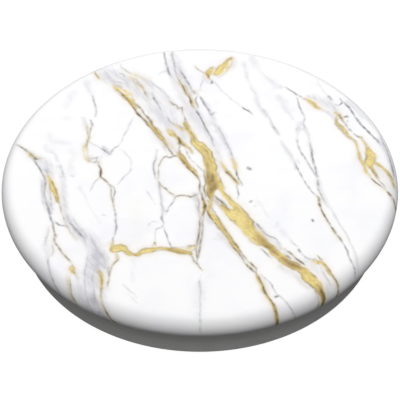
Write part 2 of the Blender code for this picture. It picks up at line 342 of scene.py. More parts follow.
# %% Adhesive foam tape
def foam_tape():
    finish = Finish("adhesive_foam")
    cells = Number(finish, finish.node("ShaderNodeTexVoronoi", None, {"Vector": finish.mm, "Scale": 1.6}))
    # Dents in the foam. They are also painted darker, which is painted shade in the hollows.
    pits_with_painted_shade = 1 - cells.ramp(0.0, 0.35)
    wander = finish.noise(3.0, detail=3.0)
    finish.set(
        base_color=finish.mix(pits_with_painted_shade * 0.6 + wander * 0.3, (0.030, 0.030, 0.032, 1), (0.010, 0.010, 0.011, 1)),
        roughness=0.34 + wander * 0.16 + pits_with_painted_shade * 0.2,
    )
    finish.bump(wander * 0.5 - pits_with_painted_shade * 0.3, 0.02)
    return finish


adhesive = foam_tape()
print("adhesive:", adhesive.material.name)

# %% [markdown]
# ## The base
#
# The base is a shallow ring with a slightly flared wall and a rounded foot. Inside it a lip holds the
# bellows' foot down, so that the bellows can turn but not lift out. The sticky disc below it stands a
# little proud, so that it meets the phone first. Sizes that the solids share with this file come from
# their boxes.

# %% Base ring
GAP = 0.1
wall_low, wall_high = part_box("base_ring")
BASE_BOTTOM, BASE_TOP = wall_low.z / MM, wall_high.z / MM
BASE_TOP_RADIUS = wall_high.x / MM
BORE_RADIUS, LIP_RADIUS = 17.1, 16.45
LIP_BOTTOM, LIP_TOP = 2.0, 2.55

base_outline = rounded(
    [
        (BORE_RADIUS, BASE_BOTTOM, 0.06),
        (BASE_TOP_RADIUS - 0.25, BASE_BOTTOM, 0.38),
        (BASE_TOP_RADIUS, BASE_TOP, 0.28),
        (BORE_RADIUS + GAP, BASE_TOP, 0.12),
        (LIP_RADIUS, LIP_TOP, 0.12),
        (LIP_RADIUS, LIP_BOTTOM, 0.10),
        (BORE_RADIUS, LIP_BOTTOM, 0.10),
    ]
)
base_wall = turned("base_wall", base_outline, grey_plastic, sides=256)
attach(base_wall, "base")
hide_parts("base_ring")

# %% Adhesive disc
pad_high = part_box("adhesive_pad")[1]
pad_radius, pad_top = pad_high.x / MM, pad_high.z / MM
pad_outline = [(0, 0)] + rounded(
    [(0, 0, 0), (pad_radius, 0, 0.12), (pad_radius, pad_top, 0.06), (0, pad_top, 0)], closed=False
)[1:]
adhesive_disc = turned("adhesive_disc", pad_outline, adhesive, sides=192)
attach(adhesive_disc, "base")
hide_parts("adhesive_pad")

# %% [markdown]
# ## The bellows
#
# The bellows is one rubber moulding with three stiff walls and two webs that turn inside out. The walls
# ride on their bodies. A web lies between two walls, drawn so that carrying its lower end up by one
# stage's travel would straighten it into a cone. Closed, it is a soft S that nobody sees under the disc.

# %% Bellows walls
WALL = 0.7
BEND_LOW, BEND_HIGH = 2.25, 4.95
FOOT_TOP = 1.85
LOWER_STAGE = next(joint for joint in frame["joints"] if joint["name"] == "lower_stage")
TRAVEL = LOWER_STAGE["range_m"][1] / MM
OUTER_RADII, MIDDLE_RADII, INNER_RADII = (15.8, 15.2), (12.4, 11.8), (9.0, 8.4)   # each wall's foot and top


def bellows_wall(name, radii, foot_height, top_height, body):
    """A leaning wall with rounded ends."""
    bottom, top = (radii[0], foot_height), (radii[1], top_height)
    across = (Vector(top) - Vector(bottom)).normalized()
    side = Vector((across.y, -across.x)) * WALL / 2
    corners = [Vector(bottom) - side, Vector(bottom) + side, Vector(top) + side, Vector(top) - side]
    outline = rounded([(corner.x, corner.y, 0.3) for corner in corners])
    piece = turned(name + "_skin", outline, rubber)
    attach(piece, body)
    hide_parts(name)


bellows_wall("bellows_outer_wall", OUTER_RADII, FOOT_TOP + GAP, BEND_HIGH + 0.25, "bellows_foot")
bellows_wall("bellows_middle_wall", MIDDLE_RADII, BEND_LOW - 0.25, BEND_HIGH + 0.25, "bellows_middle")
bellows_wall("bellows_inner_wall", INNER_RADII, BEND_LOW - 0.25, BEND_HIGH + 0.5, "bellows_crown")

# %% Bellows webs
UNUSED_SHARE = 0.06             # at each end of the smooth step the height would turn back, so it is not used
WEB_STEPS = 24


def bellows_web(name, top_radius, bottom_radius):
    reach = (BEND_HIGH - BEND_LOW) / (1 - 2 * UNUSED_SHARE)
    start = BEND_HIGH + reach * UNUSED_SHARE
    shares = [UNUSED_SHARE + (1 - 2 * UNUSED_SHARE) * step / WEB_STEPS for step in range(WEB_STEPS + 1)]
    heights = [start - reach * share for share in shares]
    opened = [z + TRAVEL * share**2 * (3 - 2 * share) for z, share in zip(heights, shares)]
    cone = [
        top_radius + (bottom_radius - top_radius) * (z - opened[0]) / (opened[-1] - opened[0])
        for z in opened
    ]
    thickness = [WALL * (0.62 + 0.5 * math.sin(math.pi * step / WEB_STEPS)) for step in range(WEB_STEPS + 1)]
    outer = [(r + t / 2, z) for r, z, t in zip(cone, heights, thickness)]
    inner = [(r - t / 2, z) for r, z, t in zip(cone, heights, thickness)]
    piece = turned(name + "_web", outer + inner[::-1], rubber)
    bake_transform(piece)
    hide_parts(name)


bellows_web("bellows_lower_fold", OUTER_RADII[1], MIDDLE_RADII[0])
bellows_web("bellows_upper_fold", MIDDLE_RADII[1], INNER_RADII[0])
print("each stage opens by", round(TRAVEL, 2), "mm")

# %% [markdown]
# ## The cap and the locks
#
# The white cap is the stiff body of the disc. The print covers its top and most of its rim, so that only
# a thin white line of it shows under the edge, and its hollow underside shows when the grip is open.
# Four melted posts hold the twist plug to it: they repeat round a circle, so a Geometry Nodes tree places
# them.

# %% Cap
disc_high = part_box("print_film")[1]
TOP_RADIUS, DISC_TOP = disc_high.x / MM, disc_high.z / MM
THICKNESS = 3.0
RIM_REACH = 1.25
RIM_MIDDLE = DISC_TOP - THICKNESS / 2
FILM = 0.25
CAP_TOP, CAP_UNDERSIDE = DISC_TOP - FILM - GAP, DISC_TOP - FILM - GAP - 0.6


def rim(inset, start, end, steps):
    """Points of the rounded rim, or of the same curve inset from it, from start to end in degrees."""
    centre = (TOP_RADIUS - RIM_REACH, RIM_MIDDLE)
    return arc(centre, RIM_REACH - inset, THICKNESS / 2 - inset, start, end, steps)


RECESS = 17.2
cap_outline = (
    [(0, CAP_TOP)]
    + rim(FILM + GAP, 90, -66, 24)
    + rim(0, -66, -88, 6)
    + rounded(
        [
            (TOP_RADIUS - RIM_REACH, DISC_TOP - THICKNESS, 0),
            (RECESS, DISC_TOP - THICKNESS, 0.15),
            (RECESS, CAP_UNDERSIDE, 0.45),
            (0, CAP_UNDERSIDE, 0),
        ],
        closed=False,
    )
)
cap_body = turned("cap_body", cap_outline, white_plastic, sides=256)
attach(cap_body, "top")
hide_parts("top_cap")


# %% Melted posts of the cap
def repeated_posts(name, count, ring_mm, profile, finish):
    """Turned posts placed at equal steps round a circle."""
    post = turned(name + "_one", profile, finish, sides=24)
    tree = bpy.data.node_groups.new("Ring of posts", "GeometryNodeTree")
    interface = tree.interface
    interface.new_socket("Post", in_out="INPUT", socket_type="NodeSocketGeometry")
    inputs = {}
    for title, kind in (("Count", "Int"), ("Ring radius", "Float"), ("Finish", "Material")):
        socket = interface.new_socket(title, in_out="INPUT", socket_type="NodeSocket" + kind)
        inputs[title] = socket.identifier
    interface.new_socket("Posts", in_out="OUTPUT", socket_type="NodeSocketGeometry")
    new, link = tree.nodes.new, tree.links.new
    given, result = new("NodeGroupInput"), new("NodeGroupOutput")
    circle = new("GeometryNodeMeshCircle")
    link(given.outputs["Count"], circle.inputs["Vertices"])
    link(given.outputs["Ring radius"], circle.inputs["Radius"])
    turn = new("GeometryNodeTransform")
    turn.inputs["Rotation"].default_value = (0, 0, math.pi / count)
    link(circle.outputs[0], turn.inputs["Geometry"])
    place = new("GeometryNodeInstanceOnPoints")
    link(turn.outputs[0], place.inputs["Points"])
    link(given.outputs["Post"], place.inputs["Instance"])
    real = new("GeometryNodeRealizeInstances")
    link(place.outputs[0], real.inputs[0])
    paint = new("GeometryNodeSetMaterial")
    link(real.outputs[0], paint.inputs["Geometry"])
    link(given.outputs["Finish"], paint.inputs["Material"])
    link(paint.outputs[0], result.inputs[0])
    placing = post.modifiers.new("placing", "NODES")
    placing.node_group = tree
    placing[inputs["Count"]] = count
    placing[inputs["Ring radius"]] = ring_mm * MM
    placing[inputs["Finish"]] = finish.material
    mesh = plain_mesh(post, name)
    print(f"{name}: {count} posts, {len(mesh.polygons)} faces")
    return add_mesh_object(name, mesh)


PLUG_PLATE = 0.5
plate_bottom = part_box("twist_plug")[1].z / MM - PLUG_PLATE
post_outline = rounded(
    [
        (0, CAP_UNDERSIDE + 0.05, 0),
        (0.45, CAP_UNDERSIDE + 0.05, 0),
        (0.45, plate_bottom - GAP, 0),
        (0.8, plate_bottom - GAP, 0.06),
        (0.74, plate_bottom - 4 * GAP, 0.12),
        (0, plate_bottom - 4.4 * GAP, 0),
    ],
    closed=False,
)
cap_posts = repeated_posts("cap_posts", 4, 3.6, post_outline, white_plastic)
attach(cap_posts, "top")

# %% Finishes on the solids that stay as they are
for node, finish in (
    ("base_plate", grey_plastic),
    ("foot_ring", grey_plastic),
    ("button_cup", white_plastic),
    ("twist_plug", white_plastic),
):
    solid = frame["nodes"][node]
    solid.data.materials.clear()
    solid.data.materials.append(finish.material)
    print(node, "has", finish.material.name)

# %% [markdown]
# ## The marble print
#
# Marble veins run in a family: broad smoky washes first, then gold that has settled in the cracks, brown
# lines along its edges, and grey hairlines that join everything. The print is made the same way. Each
# vein is drawn as a route over the disc, in millimetres from its centre, with a half-width at each point.
# One entry holds one vein: its ink, its strength, and then `x y half-width` for each point, and it may go
# on over several lines. The last table darkens the gold to bronze where it lies thick.

# %% Routes of the veins, upper left
UPPER_LEFT = """
smoke .5: -9.6 15.4 .9, -8.4 14.6 1.1, -7 13.6 1.1, -5.6 12.2 1, -4.6 10.6 .9, -3.7 9 .9, -2.7 7.4 .9,
    -1.8 5.8 .6
smoke .55: -10 15.3 .3, -9.5 14.6 .35, -8.9 14 .35, -8.3 13.5 .3
smoke .3: -6 14.4 .5, -4.9 13.4 .5, -3.9 12.2 .5, -3 11 .4, -2.5 9.9 .4
smoke .35: -11.7 14 .35, -11.4 13.1 .3, -11.1 12.2 .2, -10.9 11.2 .12
smoke .2: -13 12.4 .4, -13.5 11.2 .4, -13.7 10.2 .3
smoke .16: -13.6 8.7 .4, -13 8.5 .3
smoke .4: -11.9 8.8 .2, -11.7 8 .25, -11.6 7.2 .2
smoke .16: -15.3 6.4 .2, -15.1 5.2 .25, -14.9 4 .3
smoke .16: -14.8 5.2 .3, -13.4 5 .3
smoke .5: -9.8 4.4 .2, -9.5 3.8 .3, -9.2 3.3 .2
smoke .4: -17.6 3.9 .25, -16.8 3 .4, -16.2 2.4 .5, -15.8 1.4 .4, -15.5 .4 .4
smoke .3: -15.7 4.6 .2, -15.4 3.8 .25, -14.7 3.4 .15, -14.4 2.4 .2
smoke .35: -15.4 2.2 .4, -15.1 1 .4, -15 0 .35
smoke .35: -14.1 1.6 .25, -13.9 .6 .25, -13.7 -.4 .25
smoke .18: -13 3.8 .4, -12.6 3.4 .3, -13.1 2 .3, -12.9 .6 .4
gold .45: -9.1 13.8 .05, -8.5 13.1 .34, -7.9 12.6 .45, -7.3 11.9 .4
gold .6: -8.2 12.6 .14, -7.6 11.9 .3, -7.1 11.3 .34
gold .9: -7.6 11.7 .14, -7.1 11.1 .24, -6.8 10.6 .24, -6.5 10.1 .12
gold .8: -5.2 8.1 .08, -4.8 7.4 .16, -4.4 6.7 .26, -4 5.9 .26, -3.6 5.2 .16, -3.2 4.4 .07
smoke .7: -6.3 9.6 .15, -5.7 8.7 .2, -5.1 7.8 .22, -4.6 6.9 .2
smoke .5: -4.4 6.6 .3, -3.8 5.6 .45, -3.2 4.8 .5, -2.7 4.1 .4, -2.2 3.6 .25
ochre .7: -6.3 9.9 .25, -5.8 8.9 .3, -5.1 7.9 .3, -4.2 6.4 .35, -3.5 5.3 .5, -2.8 4.2 .45
umber .8: -8.7 13.3 .05, -7.9 12.2 .06, -7.1 10.9 .07, -6.6 9.8 .1, -6.4 9.3 .12, -5.8 8.5 .09,
    -5.2 7.6 .08, -4.6 6.6 .08, -4 5.6 .06, -3.4 4.6 .06, -2.9 3.6 .09, -2.5 3 .1
umber .7: -7 11.3 .05, -6.4 10.7 .06, -6 10 .08, -5.6 9.2 .1, -5 8.3 .12, -4.7 7.5 .1, -4.3 6.6 .08,
    -3.9 6 .06, -3.6 5.4 .05
umber .5: -10.9 15.9 .1, -10.7 15.3 .12, -10.5 14.7 .14
gold .5: -10.9 15.7 .12, -10.6 15 .16, -10.4 14.6 .12
gold .45: -7.6 15.8 .06, -7 15.4 .12, -6.4 15 .16, -5.9 14.7 .14, -5.5 14.3 .08
gold .5: -7.2 14.9 .08, -6.8 14.4 .16, -6.4 13.9 .2, -6 13.4 .14, -5.7 12.8 .1
umber .4: -7.1 14.6 .06, -6.5 14.1 .1, -6.1 13.6 .1, -5.8 12.9 .08, -5.6 12.3 .12, -5.3 11.8 .1,
    -5 11.4 .06
hair .55: -5 12.5 .05, -4.8 11.9 .09, -4.6 11.4 .1, -4.4 11 .08, -4.2 10.4 .05, -4 9.8 .07
hair .3: -8.3 16.9 .05, -8.1 16.3 .05, -7.7 15.9 .06, -7.3 15.6 .06
hair .35: -8.3 15.4 .1, -7.9 15.3 .08, -7.7 15 .05
hair .2: -8.9 14.4 .1, -8.4 14.1 .12, -7.6 13.8 .08
hair .3: -5.1 14.2 .05, -4.6 13.6 .06, -4 13 .05, -3.5 12.4 .06, -3.2 11.7 .06
umber .5: -3.2 11.3 .1, -3 11 .12, -2.7 10.7 .13, -2.4 10.5 .05, -2.2 10.1 .12, -1.9 10.3 .1,
    -1.8 9.8 .08, -1.7 9.2 .07, -1.5 8.4 .1, -1.4 7.9 .1
hair .45: -3.4 8.8 .1, -3.2 8.5 .12, -3 8.1 .05, -2.6 7.7 .05
gold .95: -1.5 8 .12, -1.3 7.4 .2, -1.1 6.8 .18, -.8 6.2 .2, -.6 5.6 .3, -.4 5 .42, 0 4.5 .5
umber .5: -1.6 8.2 .06, -1.3 7.3 .1, -1 6.7 .08, -.7 6 .1, -.5 5.2 .12, -.1 4.6 .15
gold .7: -2.5 7.7 .08, -2.1 7.4 .18, -1.8 7.1 .18, -1.5 6.9 .1
umber .4: -2.4 7.8 .06, -2 7.4 .1, -1.7 7.2 .06
gold .6: -3.2 6.9 .1, -2.9 6.4 .3, -2.4 5.9 .25, -2.1 5.4 .25, -1.8 5 .3, -1.4 4.6 .18, -1 4.2 .1
umber .7: -2.9 7 .05, -2.6 6.4 .07, -2.2 5.8 .08, -2 5.3 .14, -1.9 4.9 .28, -1.6 4.7 .2, -1.4 4.4 .08,
    -1.1 4.1 .07
umber .7: -2 4.9 .1, -2.1 4.2 .1, -2 3.6 .08, -1.8 3.2 .08
hair .35: -2.6 6.2 .05, -2.2 5.6 .1, -1.8 5.6 .06
hair .45: -1.5 4.2 .06, -1.3 3.6 .07, -1.1 3 .06, -.7 2.4 .05, -.3 1.8 .05, 0 1.3 .06, .4 .8 .07
gold .55: -1.1 4.2 .1, -.9 3.8 .14, -.8 3.5 .1
gold .95: -2.1 3.5 .14, -1.9 3 .28, -1.7 2.5 .28, -1.4 2 .2, -1 1.4 .17, -.7 .9 .15, -.3 .2 .09
umber .75: -2.4 3.1 .1, -2 2.7 .1, -1.6 2.1 .1, -1.2 1.4 .1, -.8 .8 .09, -.4 .3 .1, -.1 -.3 .1, 0 -1 .1,
    0 -1.7 .1, .05 -2.3 .1
umber .4: -1.9 3.6 .05, -1.5 2.8 .06, -1.1 2 .05, -.7 1.3 .06, -.3 .6 .06, .05 0 .05
hair .6: -3.6 3 .06, -3.3 2.95 .08, -3 2.85 .1, -2.7 3 .1, -2.4 3.1 .08
hair .25: -3.9 5 .04, -3.6 4.3 .05, -3.4 3.6 .04, -3.3 3.1 .04
hair .45: -11 12 .05, -10.9 11.2 .06, -10.7 10.4 .06, -10.6 9.6 .08, -10.7 8.9 .05
hair .4: -11.2 8.4 .07, -11 7.9 .1, -10.9 7.5 .06
gold .5: -11.5 7.3 .06, -11.4 6.6 .1, -11.3 5.9 .14, -11.4 5.2 .1, -11.6 4.4 .2, -11.6 3.7 .26,
    -11.5 3 .2, -11.2 2.4 .12
umber .55: -11 7.6 .09, -11.1 7 .1, -11.2 6.4 .06, -11.3 5.9 .08, -11.3 5.3 .1, -11.4 4.7 .08,
    -11.5 4 .05
umber .5: -11.5 7.2 .06, -11.4 6.6 .07, -11.3 6 .07
hair .45: -11.2 5.2 .06, -10.8 4.8 .06, -10.3 4.4 .06, -9.8 4 .08, -9.4 3.6 .08, -9.1 3.3 .06
hair .45: -9.1 3.3 .06, -8.9 3.8 .07, -8.6 4.3 .09, -8.3 4.5 .06, -8.1 4.9 .07, -7.9 5.2 .05
hair .3: -7.9 5.1 .05, -7.8 5.9 .05, -7.5 6.7 .07, -7.2 7.5 .05, -7 8.2 .05, -6.8 8.8 .05
hair .2: -8.1 4.1 .05, -7.6 3.6 .05, -7.1 2.9 .05, -6.9 2.2 .05, -6.9 1.5 .05
hair .35: -6.9 1.5 .05, -7 1 .12, -7.3 .5 .06, -7.7 0 .06, -8 -.5 .04, -8.2 -1 .04
umber .4: -11.3 2.6 .08, -10.9 2.3 .08, -10.6 2.2 .1, -10.4 2.5 .1, -10.4 2.8 .06
hair .3: -11.1 2.8 .05, -10.7 2.8 .06, -10.3 2.9 .06
smoke .3: -11 2.9 .3, -10.5 2.5 .3, -10.2 1.9 .2, -9.9 3 .12
umber .8: -10.3 2.3 .05, -10.2 1.8 .06, -10 1.3 .1, -10 .7 .13, -10 .2 .1, -9.8 -.1 .07, -9.4 -.6 .07,
    -9.1 -1.1 .06
hair .5: -18.8 5.1 .06, -18.3 4.6 .09, -17.7 4 .09, -17.2 3.5 .08
umber .6: -17.9 4.2 .05, -17.2 3.4 .1, -16.8 2.9 .14, -16.5 2.6 .1, -16.1 2.7 .08
gold .4: -18.2 4.4 .12, -17.4 3.6 .18, -16.9 3 .22, -16.4 2.7 .14
hair .5: -16.9 2.7 .06, -16.5 2 .08, -16.2 1.3 .09, -15.9 .6 .09, -15.7 0 .12
hair .35: -15.5 1.1 .1, -15.3 .7 .08
hair .25: -14.4 1.5 .05, -14 1.6 .06, -13.8 .8 .06, -13.7 .1 .06
hair .25: -12.9 .3 .1, -12.75 .15 .08
"""

# %% Routes of the veins, upper right
UPPER_RIGHT = """
smoke .62: -2.9 18.6 .22, -2.6 17.2 .4, -2.3 16 .5, -1.8 14.8 .45, -1.3 13.4 .4, -1 12.2 .35
smoke .35: -3.7 18.4 .12, -3.4 17 .2, -3.1 15.8 .35, -2.7 14.4 .35, -2.2 13 .35, -1.8 11.6 .4,
    -1.3 10.2 .4
smoke .36: -.7 11.4 .3, -.4 10 .4, .1 8.6 .5, .6 7.3 .5, 1 6 .45, 1.5 4.6 .4, 1.8 3.4 .3, 2 2.2 .25,
    2.1 1 .2
smoke .25: -.9 9.4 .5, -.3 8 .45, .2 6.8 .4
smoke .5: .3 11.6 .12, .7 10.6 .2, 1.1 9.4 .22, 1.5 8.1 .28, 2 6.8 .3, 2.4 5.6 .28, 2.8 4.4 .24,
    3.1 3.4 .2, 3.4 2.4 .18, 3.6 1.4 .16
smoke .32: 4.6 16.9 .3, 4.8 15.6 .22, 5 14.4 .18, 5.4 13.2 .2, 5.8 12 .22, 5.9 11 .24, 6.3 10 .28,
    6.8 9.2 .28
smoke .45: 6.5 9.9 .14, 7 8.9 .2, 7.4 7.9 .17, 7.8 6.9 .15, 8 6.2 .12
smoke .32: 5.5 17.8 .35, 5.8 16.8 .35, 6.2 15.8 .2, 6.8 14.9 .18, 7.5 14.1 .24, 7.9 13.4 .3
smoke .34: 8.1 12 .2, 8.6 10.9 .3, 9.1 9.7 .3, 9.5 8.6 .2
smoke .45: 8.3 5.3 .14, 8.7 4.3 .22, 9.1 3.2 .2, 9.6 2.1 .16, 9.7 1.2 .12
smoke .4: 10.3 7.9 .3, 10.1 7 .3, 10.7 7.2 .2
smoke .4: 9.9 7.2 .12, 9.9 6.2 .12, 9.9 5.2 .1
smoke .42: 10.8 7 .2, 11.1 6 .16, 11.2 5 .2, 11.3 3.9 .2, 11.4 2.8 .15, 11.6 1.6 .14, 11.8 .4 .18,
    11.8 -.6 .2
smoke .5: 11.3 11.9 .25, 12.1 11.5 .5, 12.9 11 .6, 13.6 10.4 .5, 13.9 9.8 .3
smoke .4: 12.6 9.9 .16, 13.2 9.5 .22, 13.6 9 .2, 13.8 8.4 .1
smoke .3: 3.6 17.7 .25, 3.6 17 .3, 3.2 16.4 .3
smoke .35: .4 15 .25, .6 14.4 .3, 1.1 14.1 .2
smoke .35: 15.2 11.1 .25, 16 9.8 .2, 16.6 8.8 .25
smoke .4: 18 5.6 .2, 18.6 4.6 .28, 19 3.4 .3, 19.3 2.2 .3, 19.5 1 .25
smoke .35: 17.9 1.6 .3, 18.5 .6 .4, 19 -.5 .4, 19.3 -1.6 .35
hair .45: -3.8 19.2 .05, -3.7 18.4 .07, -3.6 17.6 .06, -3.4 16.6 .06, -3.3 16 .09, -3.1 15.3 .09,
    -3 14.8 .05
hair .3: -4.3 15.2 .08, -4 15.6 .06, -3.4 15.9 .06
hair .42: -2.9 19 .05, -2.8 18 .07, -2.7 17.2 .08, -2.7 16.5 .08, -2.5 15.6 .06, -2.3 14.8 .08
umber .75: -2.3 14.9 .06, -2 14.1 .07, -1.7 13.3 .07, -1.4 12.5 .07, -1.1 11.8 .08, -.9 11.1 .14,
    -.8 10.6 .1, -.5 10 .09
gold .5: -2.1 14.1 .12, -1.7 13.4 .18, -1.4 12.6 .2, -1.1 11.9 .18, -.8 11.2 .16, -.6 10.4 .08
hair .5: -2 15.9 .05, -1.6 15 .07, -1.3 14.2 .07, -1 13.4 .06, -.7 12.7 .06
umber .5: -.7 12.7 .05, -.5 12.3 .08, -.6 12.8 .06, -.2 12.8 .08, 0 12.9 .06
hair .6: -.2 12.5 .1, -.3 12 .07, -.4 11.4 .07, -.3 10.8 .06, -.2 10.3 .05
hair .6: -.5 10.2 .06, -.2 9.5 .08, .1 8.8 .1, .4 8 .07, .6 7.3 .06, .9 6.4 .07, 1.2 5.5 .06,
    1.5 4.6 .05
hair .5: -.1 12.2 .05, .2 11.6 .1, .5 10.8 .1, .8 10 .07, 1 9.5 .06, 1.2 9.2 .08, 1.4 9.5 .06,
    1.7 9.6 .04
hair .25: 0 12.9 .04, .1 13.6 .05, .3 14.4 .05, .3 15 .05
hair .35: 1.9 7.4 .05, 2.3 6.2 .06, 2.7 5 .06, 3.1 3.8 .07, 3.4 2.8 .05
umber .65: -.5 16.6 .06, -.3 16.2 .09, 0 15.9 .06, .3 15.6 .06, .6 15.3 .1
gold .8: .8 14.7 .1, .85 15.2 .3, 1 15.7 .3, 1.2 16.1 .2
gold .5: 1.3 15.2 .14, 1.5 16 .2, 1.4 16.4 .08
gold 1: 1.6 15.3 .12, 1.9 15.6 .36, 2.1 16.1 .34, 2.4 16.6 .26, 2.7 17 .2, 3 17.5 .12, 3.3 17.8 .05
gold .45: 2 15.1 .2, 2.6 15.9 .3, 2.9 16.7 .35, 3.2 17.3 .2
umber .55: .7 15.4 .08, .9 15 .12, 1 14.6 .08
umber .45: 2.5 16.8 .06, 2.8 17.4 .08, 3.2 17.7 .07
hair .55: 1.2 14.4 .08, 1.3 14 .13, 1.1 13.9 .08
hair .3: 1.4 14.4 .05, 1.8 13.6 .05, 2.3 12.7 .04, 2.8 12.1 .03, 3.3 11.5 .04, 3.8 11 .05, 4.2 10.5 .06
hair .6: 4.3 10.5 .1, 4.5 10.2 .15, 4.7 10 .05, 5 9.8 .12, 5.2 9.5 .07, 5.4 9.3 .05
hair .35: 7.1 8.7 .05, 7.4 7.9 .06, 7.7 7 .06, 7.9 6.4 .08
hair .6: 8.8 13.4 .06, 9.2 13 .08, 9.6 12.6 .09, 10 12.2 .1, 10.4 11.9 .06, 10.8 11.6 .05
hair .25: 8.3 13.6 .12, 8.4 13.3 .08
gold .85: 10.8 11.6 .06, 11.2 11.3 .16, 11.6 10.9 .24, 12 10.4 .2, 12.3 10.1 .1
umber .35: 10.9 11.6 .05, 11.4 11.1 .1, 11.9 10.6 .1, 12.3 10.1 .06
hair .5: 9.9 12.2 .04, 10.1 11.2 .06, 10.3 10.2 .07, 10.5 9.4 .06, 10.7 8.7 .08, 10.6 7.9 .06,
    10.7 7.2 .05
hair .5: 9.9 5.4 .05, 9.9 4.8 .07, 10.1 4.2 .07, 10.4 3.4 .07, 10.8 2.5 .06, 11.1 1.7 .06, 11.5 .7 .07,
    11.8 .1 .07
hair .55: 11.2 5 .04, 11.3 3.8 .08, 11.4 2.8 .08, 11.6 1.8 .1, 11.7 1 .1, 11.9 .1 .08
hair .55: 9.6 2.1 .05, 9.8 1.5 .08, 10 .9 .07, 10.2 .3 .09, 10.4 -.2 .1
hair .2: 9.8 2.8 .05, 10 2 .06
hair .2: 12.1 14.7 .05, 12.4 13.6 .05, 12.9 12.5 .05, 13.2 12 .06
hair .45: 13.2 12 .12, 13.5 11.5 .1
hair .5: 13.9 10.7 .12, 14.3 10.6 .1, 14.6 11 .09, 14.4 11.7 .08
hair .6: 14.8 11.1 .08, 15.1 10.6 .08, 15.4 10 .1, 15.8 9.1 .09, 16.2 8.2 .1, 16.6 7.5 .09, 17.1 6.8 .1,
    17.6 6 .08, 18.1 5.2 .07, 18.4 4.8 .05
hair .5: 18.3 6.4 .05, 18.7 5.2 .06, 19.1 3.8 .07, 19.4 2.4 .1, 19.6 1 .12, 19.7 0 .12
hair .2: 15 12.2 .06, 16 10.6 .06, 16.9 9 .06, 17.7 7.4 .07
umber .6: 13.9 9.7 .08, 14.1 9.4 .14, 14.3 9 .12, 14.6 8.4 .07, 14.9 7.7 .07, 15.2 7 .06
gold .7: 13.8 9.6 .06, 14.2 9.2 .2, 14.5 8.6 .12
umber .55: 13.9 9.4 .06, 13.9 8.6 .08, 13.9 7.9 .1, 14 7.5 .1, 14.4 6.9 .07, 14.8 6.2 .07, 15.3 5.6 .06,
    15.7 5.2 .05
gold .85: 14 8.6 .06, 14.1 7.9 .16, 14.4 7.4 .16, 14.7 6.8 .15, 15 6.3 .12, 15.4 5.7 .1, 15.8 5.1 .08,
    16 4.4 .09, 16.1 3.6 .12, 16.2 2.8 .16, 16.4 2.2 .15, 16.6 1.5 .14, 16.8 .8 .13, 17.1 .3 .08
umber .5: 14.2 8 .06, 14.6 7.4 .07, 14.9 6.8 .07, 15.1 6.2 .05
hair .35: 15.2 7.1 .12, 15.5 6.8 .1
hair .9: 15 8.9 .17, 14.8 8.8 .1
hair .4: 15.1 8.3 .08, 15 8 .05
hair .6: 15.7 6.5 .06, 16 6.1 .1, 16.3 5.8 .08, 16.5 5.9 .07
gold .7: 16.4 5.9 .07, 16.7 5.2 .1, 16.9 4.6 .13, 17.1 4 .2
gold 1: 17 4.3 .16, 17.2 3.6 .35, 17.3 3 .45, 17.2 2.4 .45, 17.2 1.9 .3, 17.2 1.5 .16
umber .3: 17.3 4 .06, 17.7 3.4 .08, 17.9 2.9 .08
umber .55: 17.1 1.6 .12, 17.4 1 .13, 17.7 .4 .13, 18 -.2 .1
gold .75: 17.1 1.9 .2, 17.4 1.2 .14, 17.7 .5 .12, 18 -.2 .1
gold .8: 17.6 2.2 .1, 18 1.9 .18, 18.5 1.3 .16, 18.9 .7 .16, 19.3 0 .16, 19.6 -.8 .18
umber .5: 17.8 2 .05, 18.4 1.5 .08, 18.9 .8 .1, 19.3 .1 .13, 19.6 -.6 .16, 19.7 -1.2 .16
hair .75: 4.9 1.5 .12, 5.05 1.3 .19, 5.15 1.15 .16
gold .8: 2.2 2.1 .08, 2.5 1.4 .17, 2.8 .8 .16, 3.1 .3 .14, 3.4 -.2 .17, 3.7 -.7 .13, 3.9 -1 .08
gold .6: 3.3 2.6 .1, 3.5 1.9 .16, 3.6 1.2 .14, 3.8 .5 .08
umber .65: 2.5 1.3 .05, 2.8 .7 .09, 3.1 .2 .12, 3.4 -.2 .14, 3.7 -.7 .12
hair .55: 3.6 1.2 .06, 3.7 .5 .1, 3.9 -.1 .1, 4.1 -.7 .1, 4.3 -1.2 .12
"""

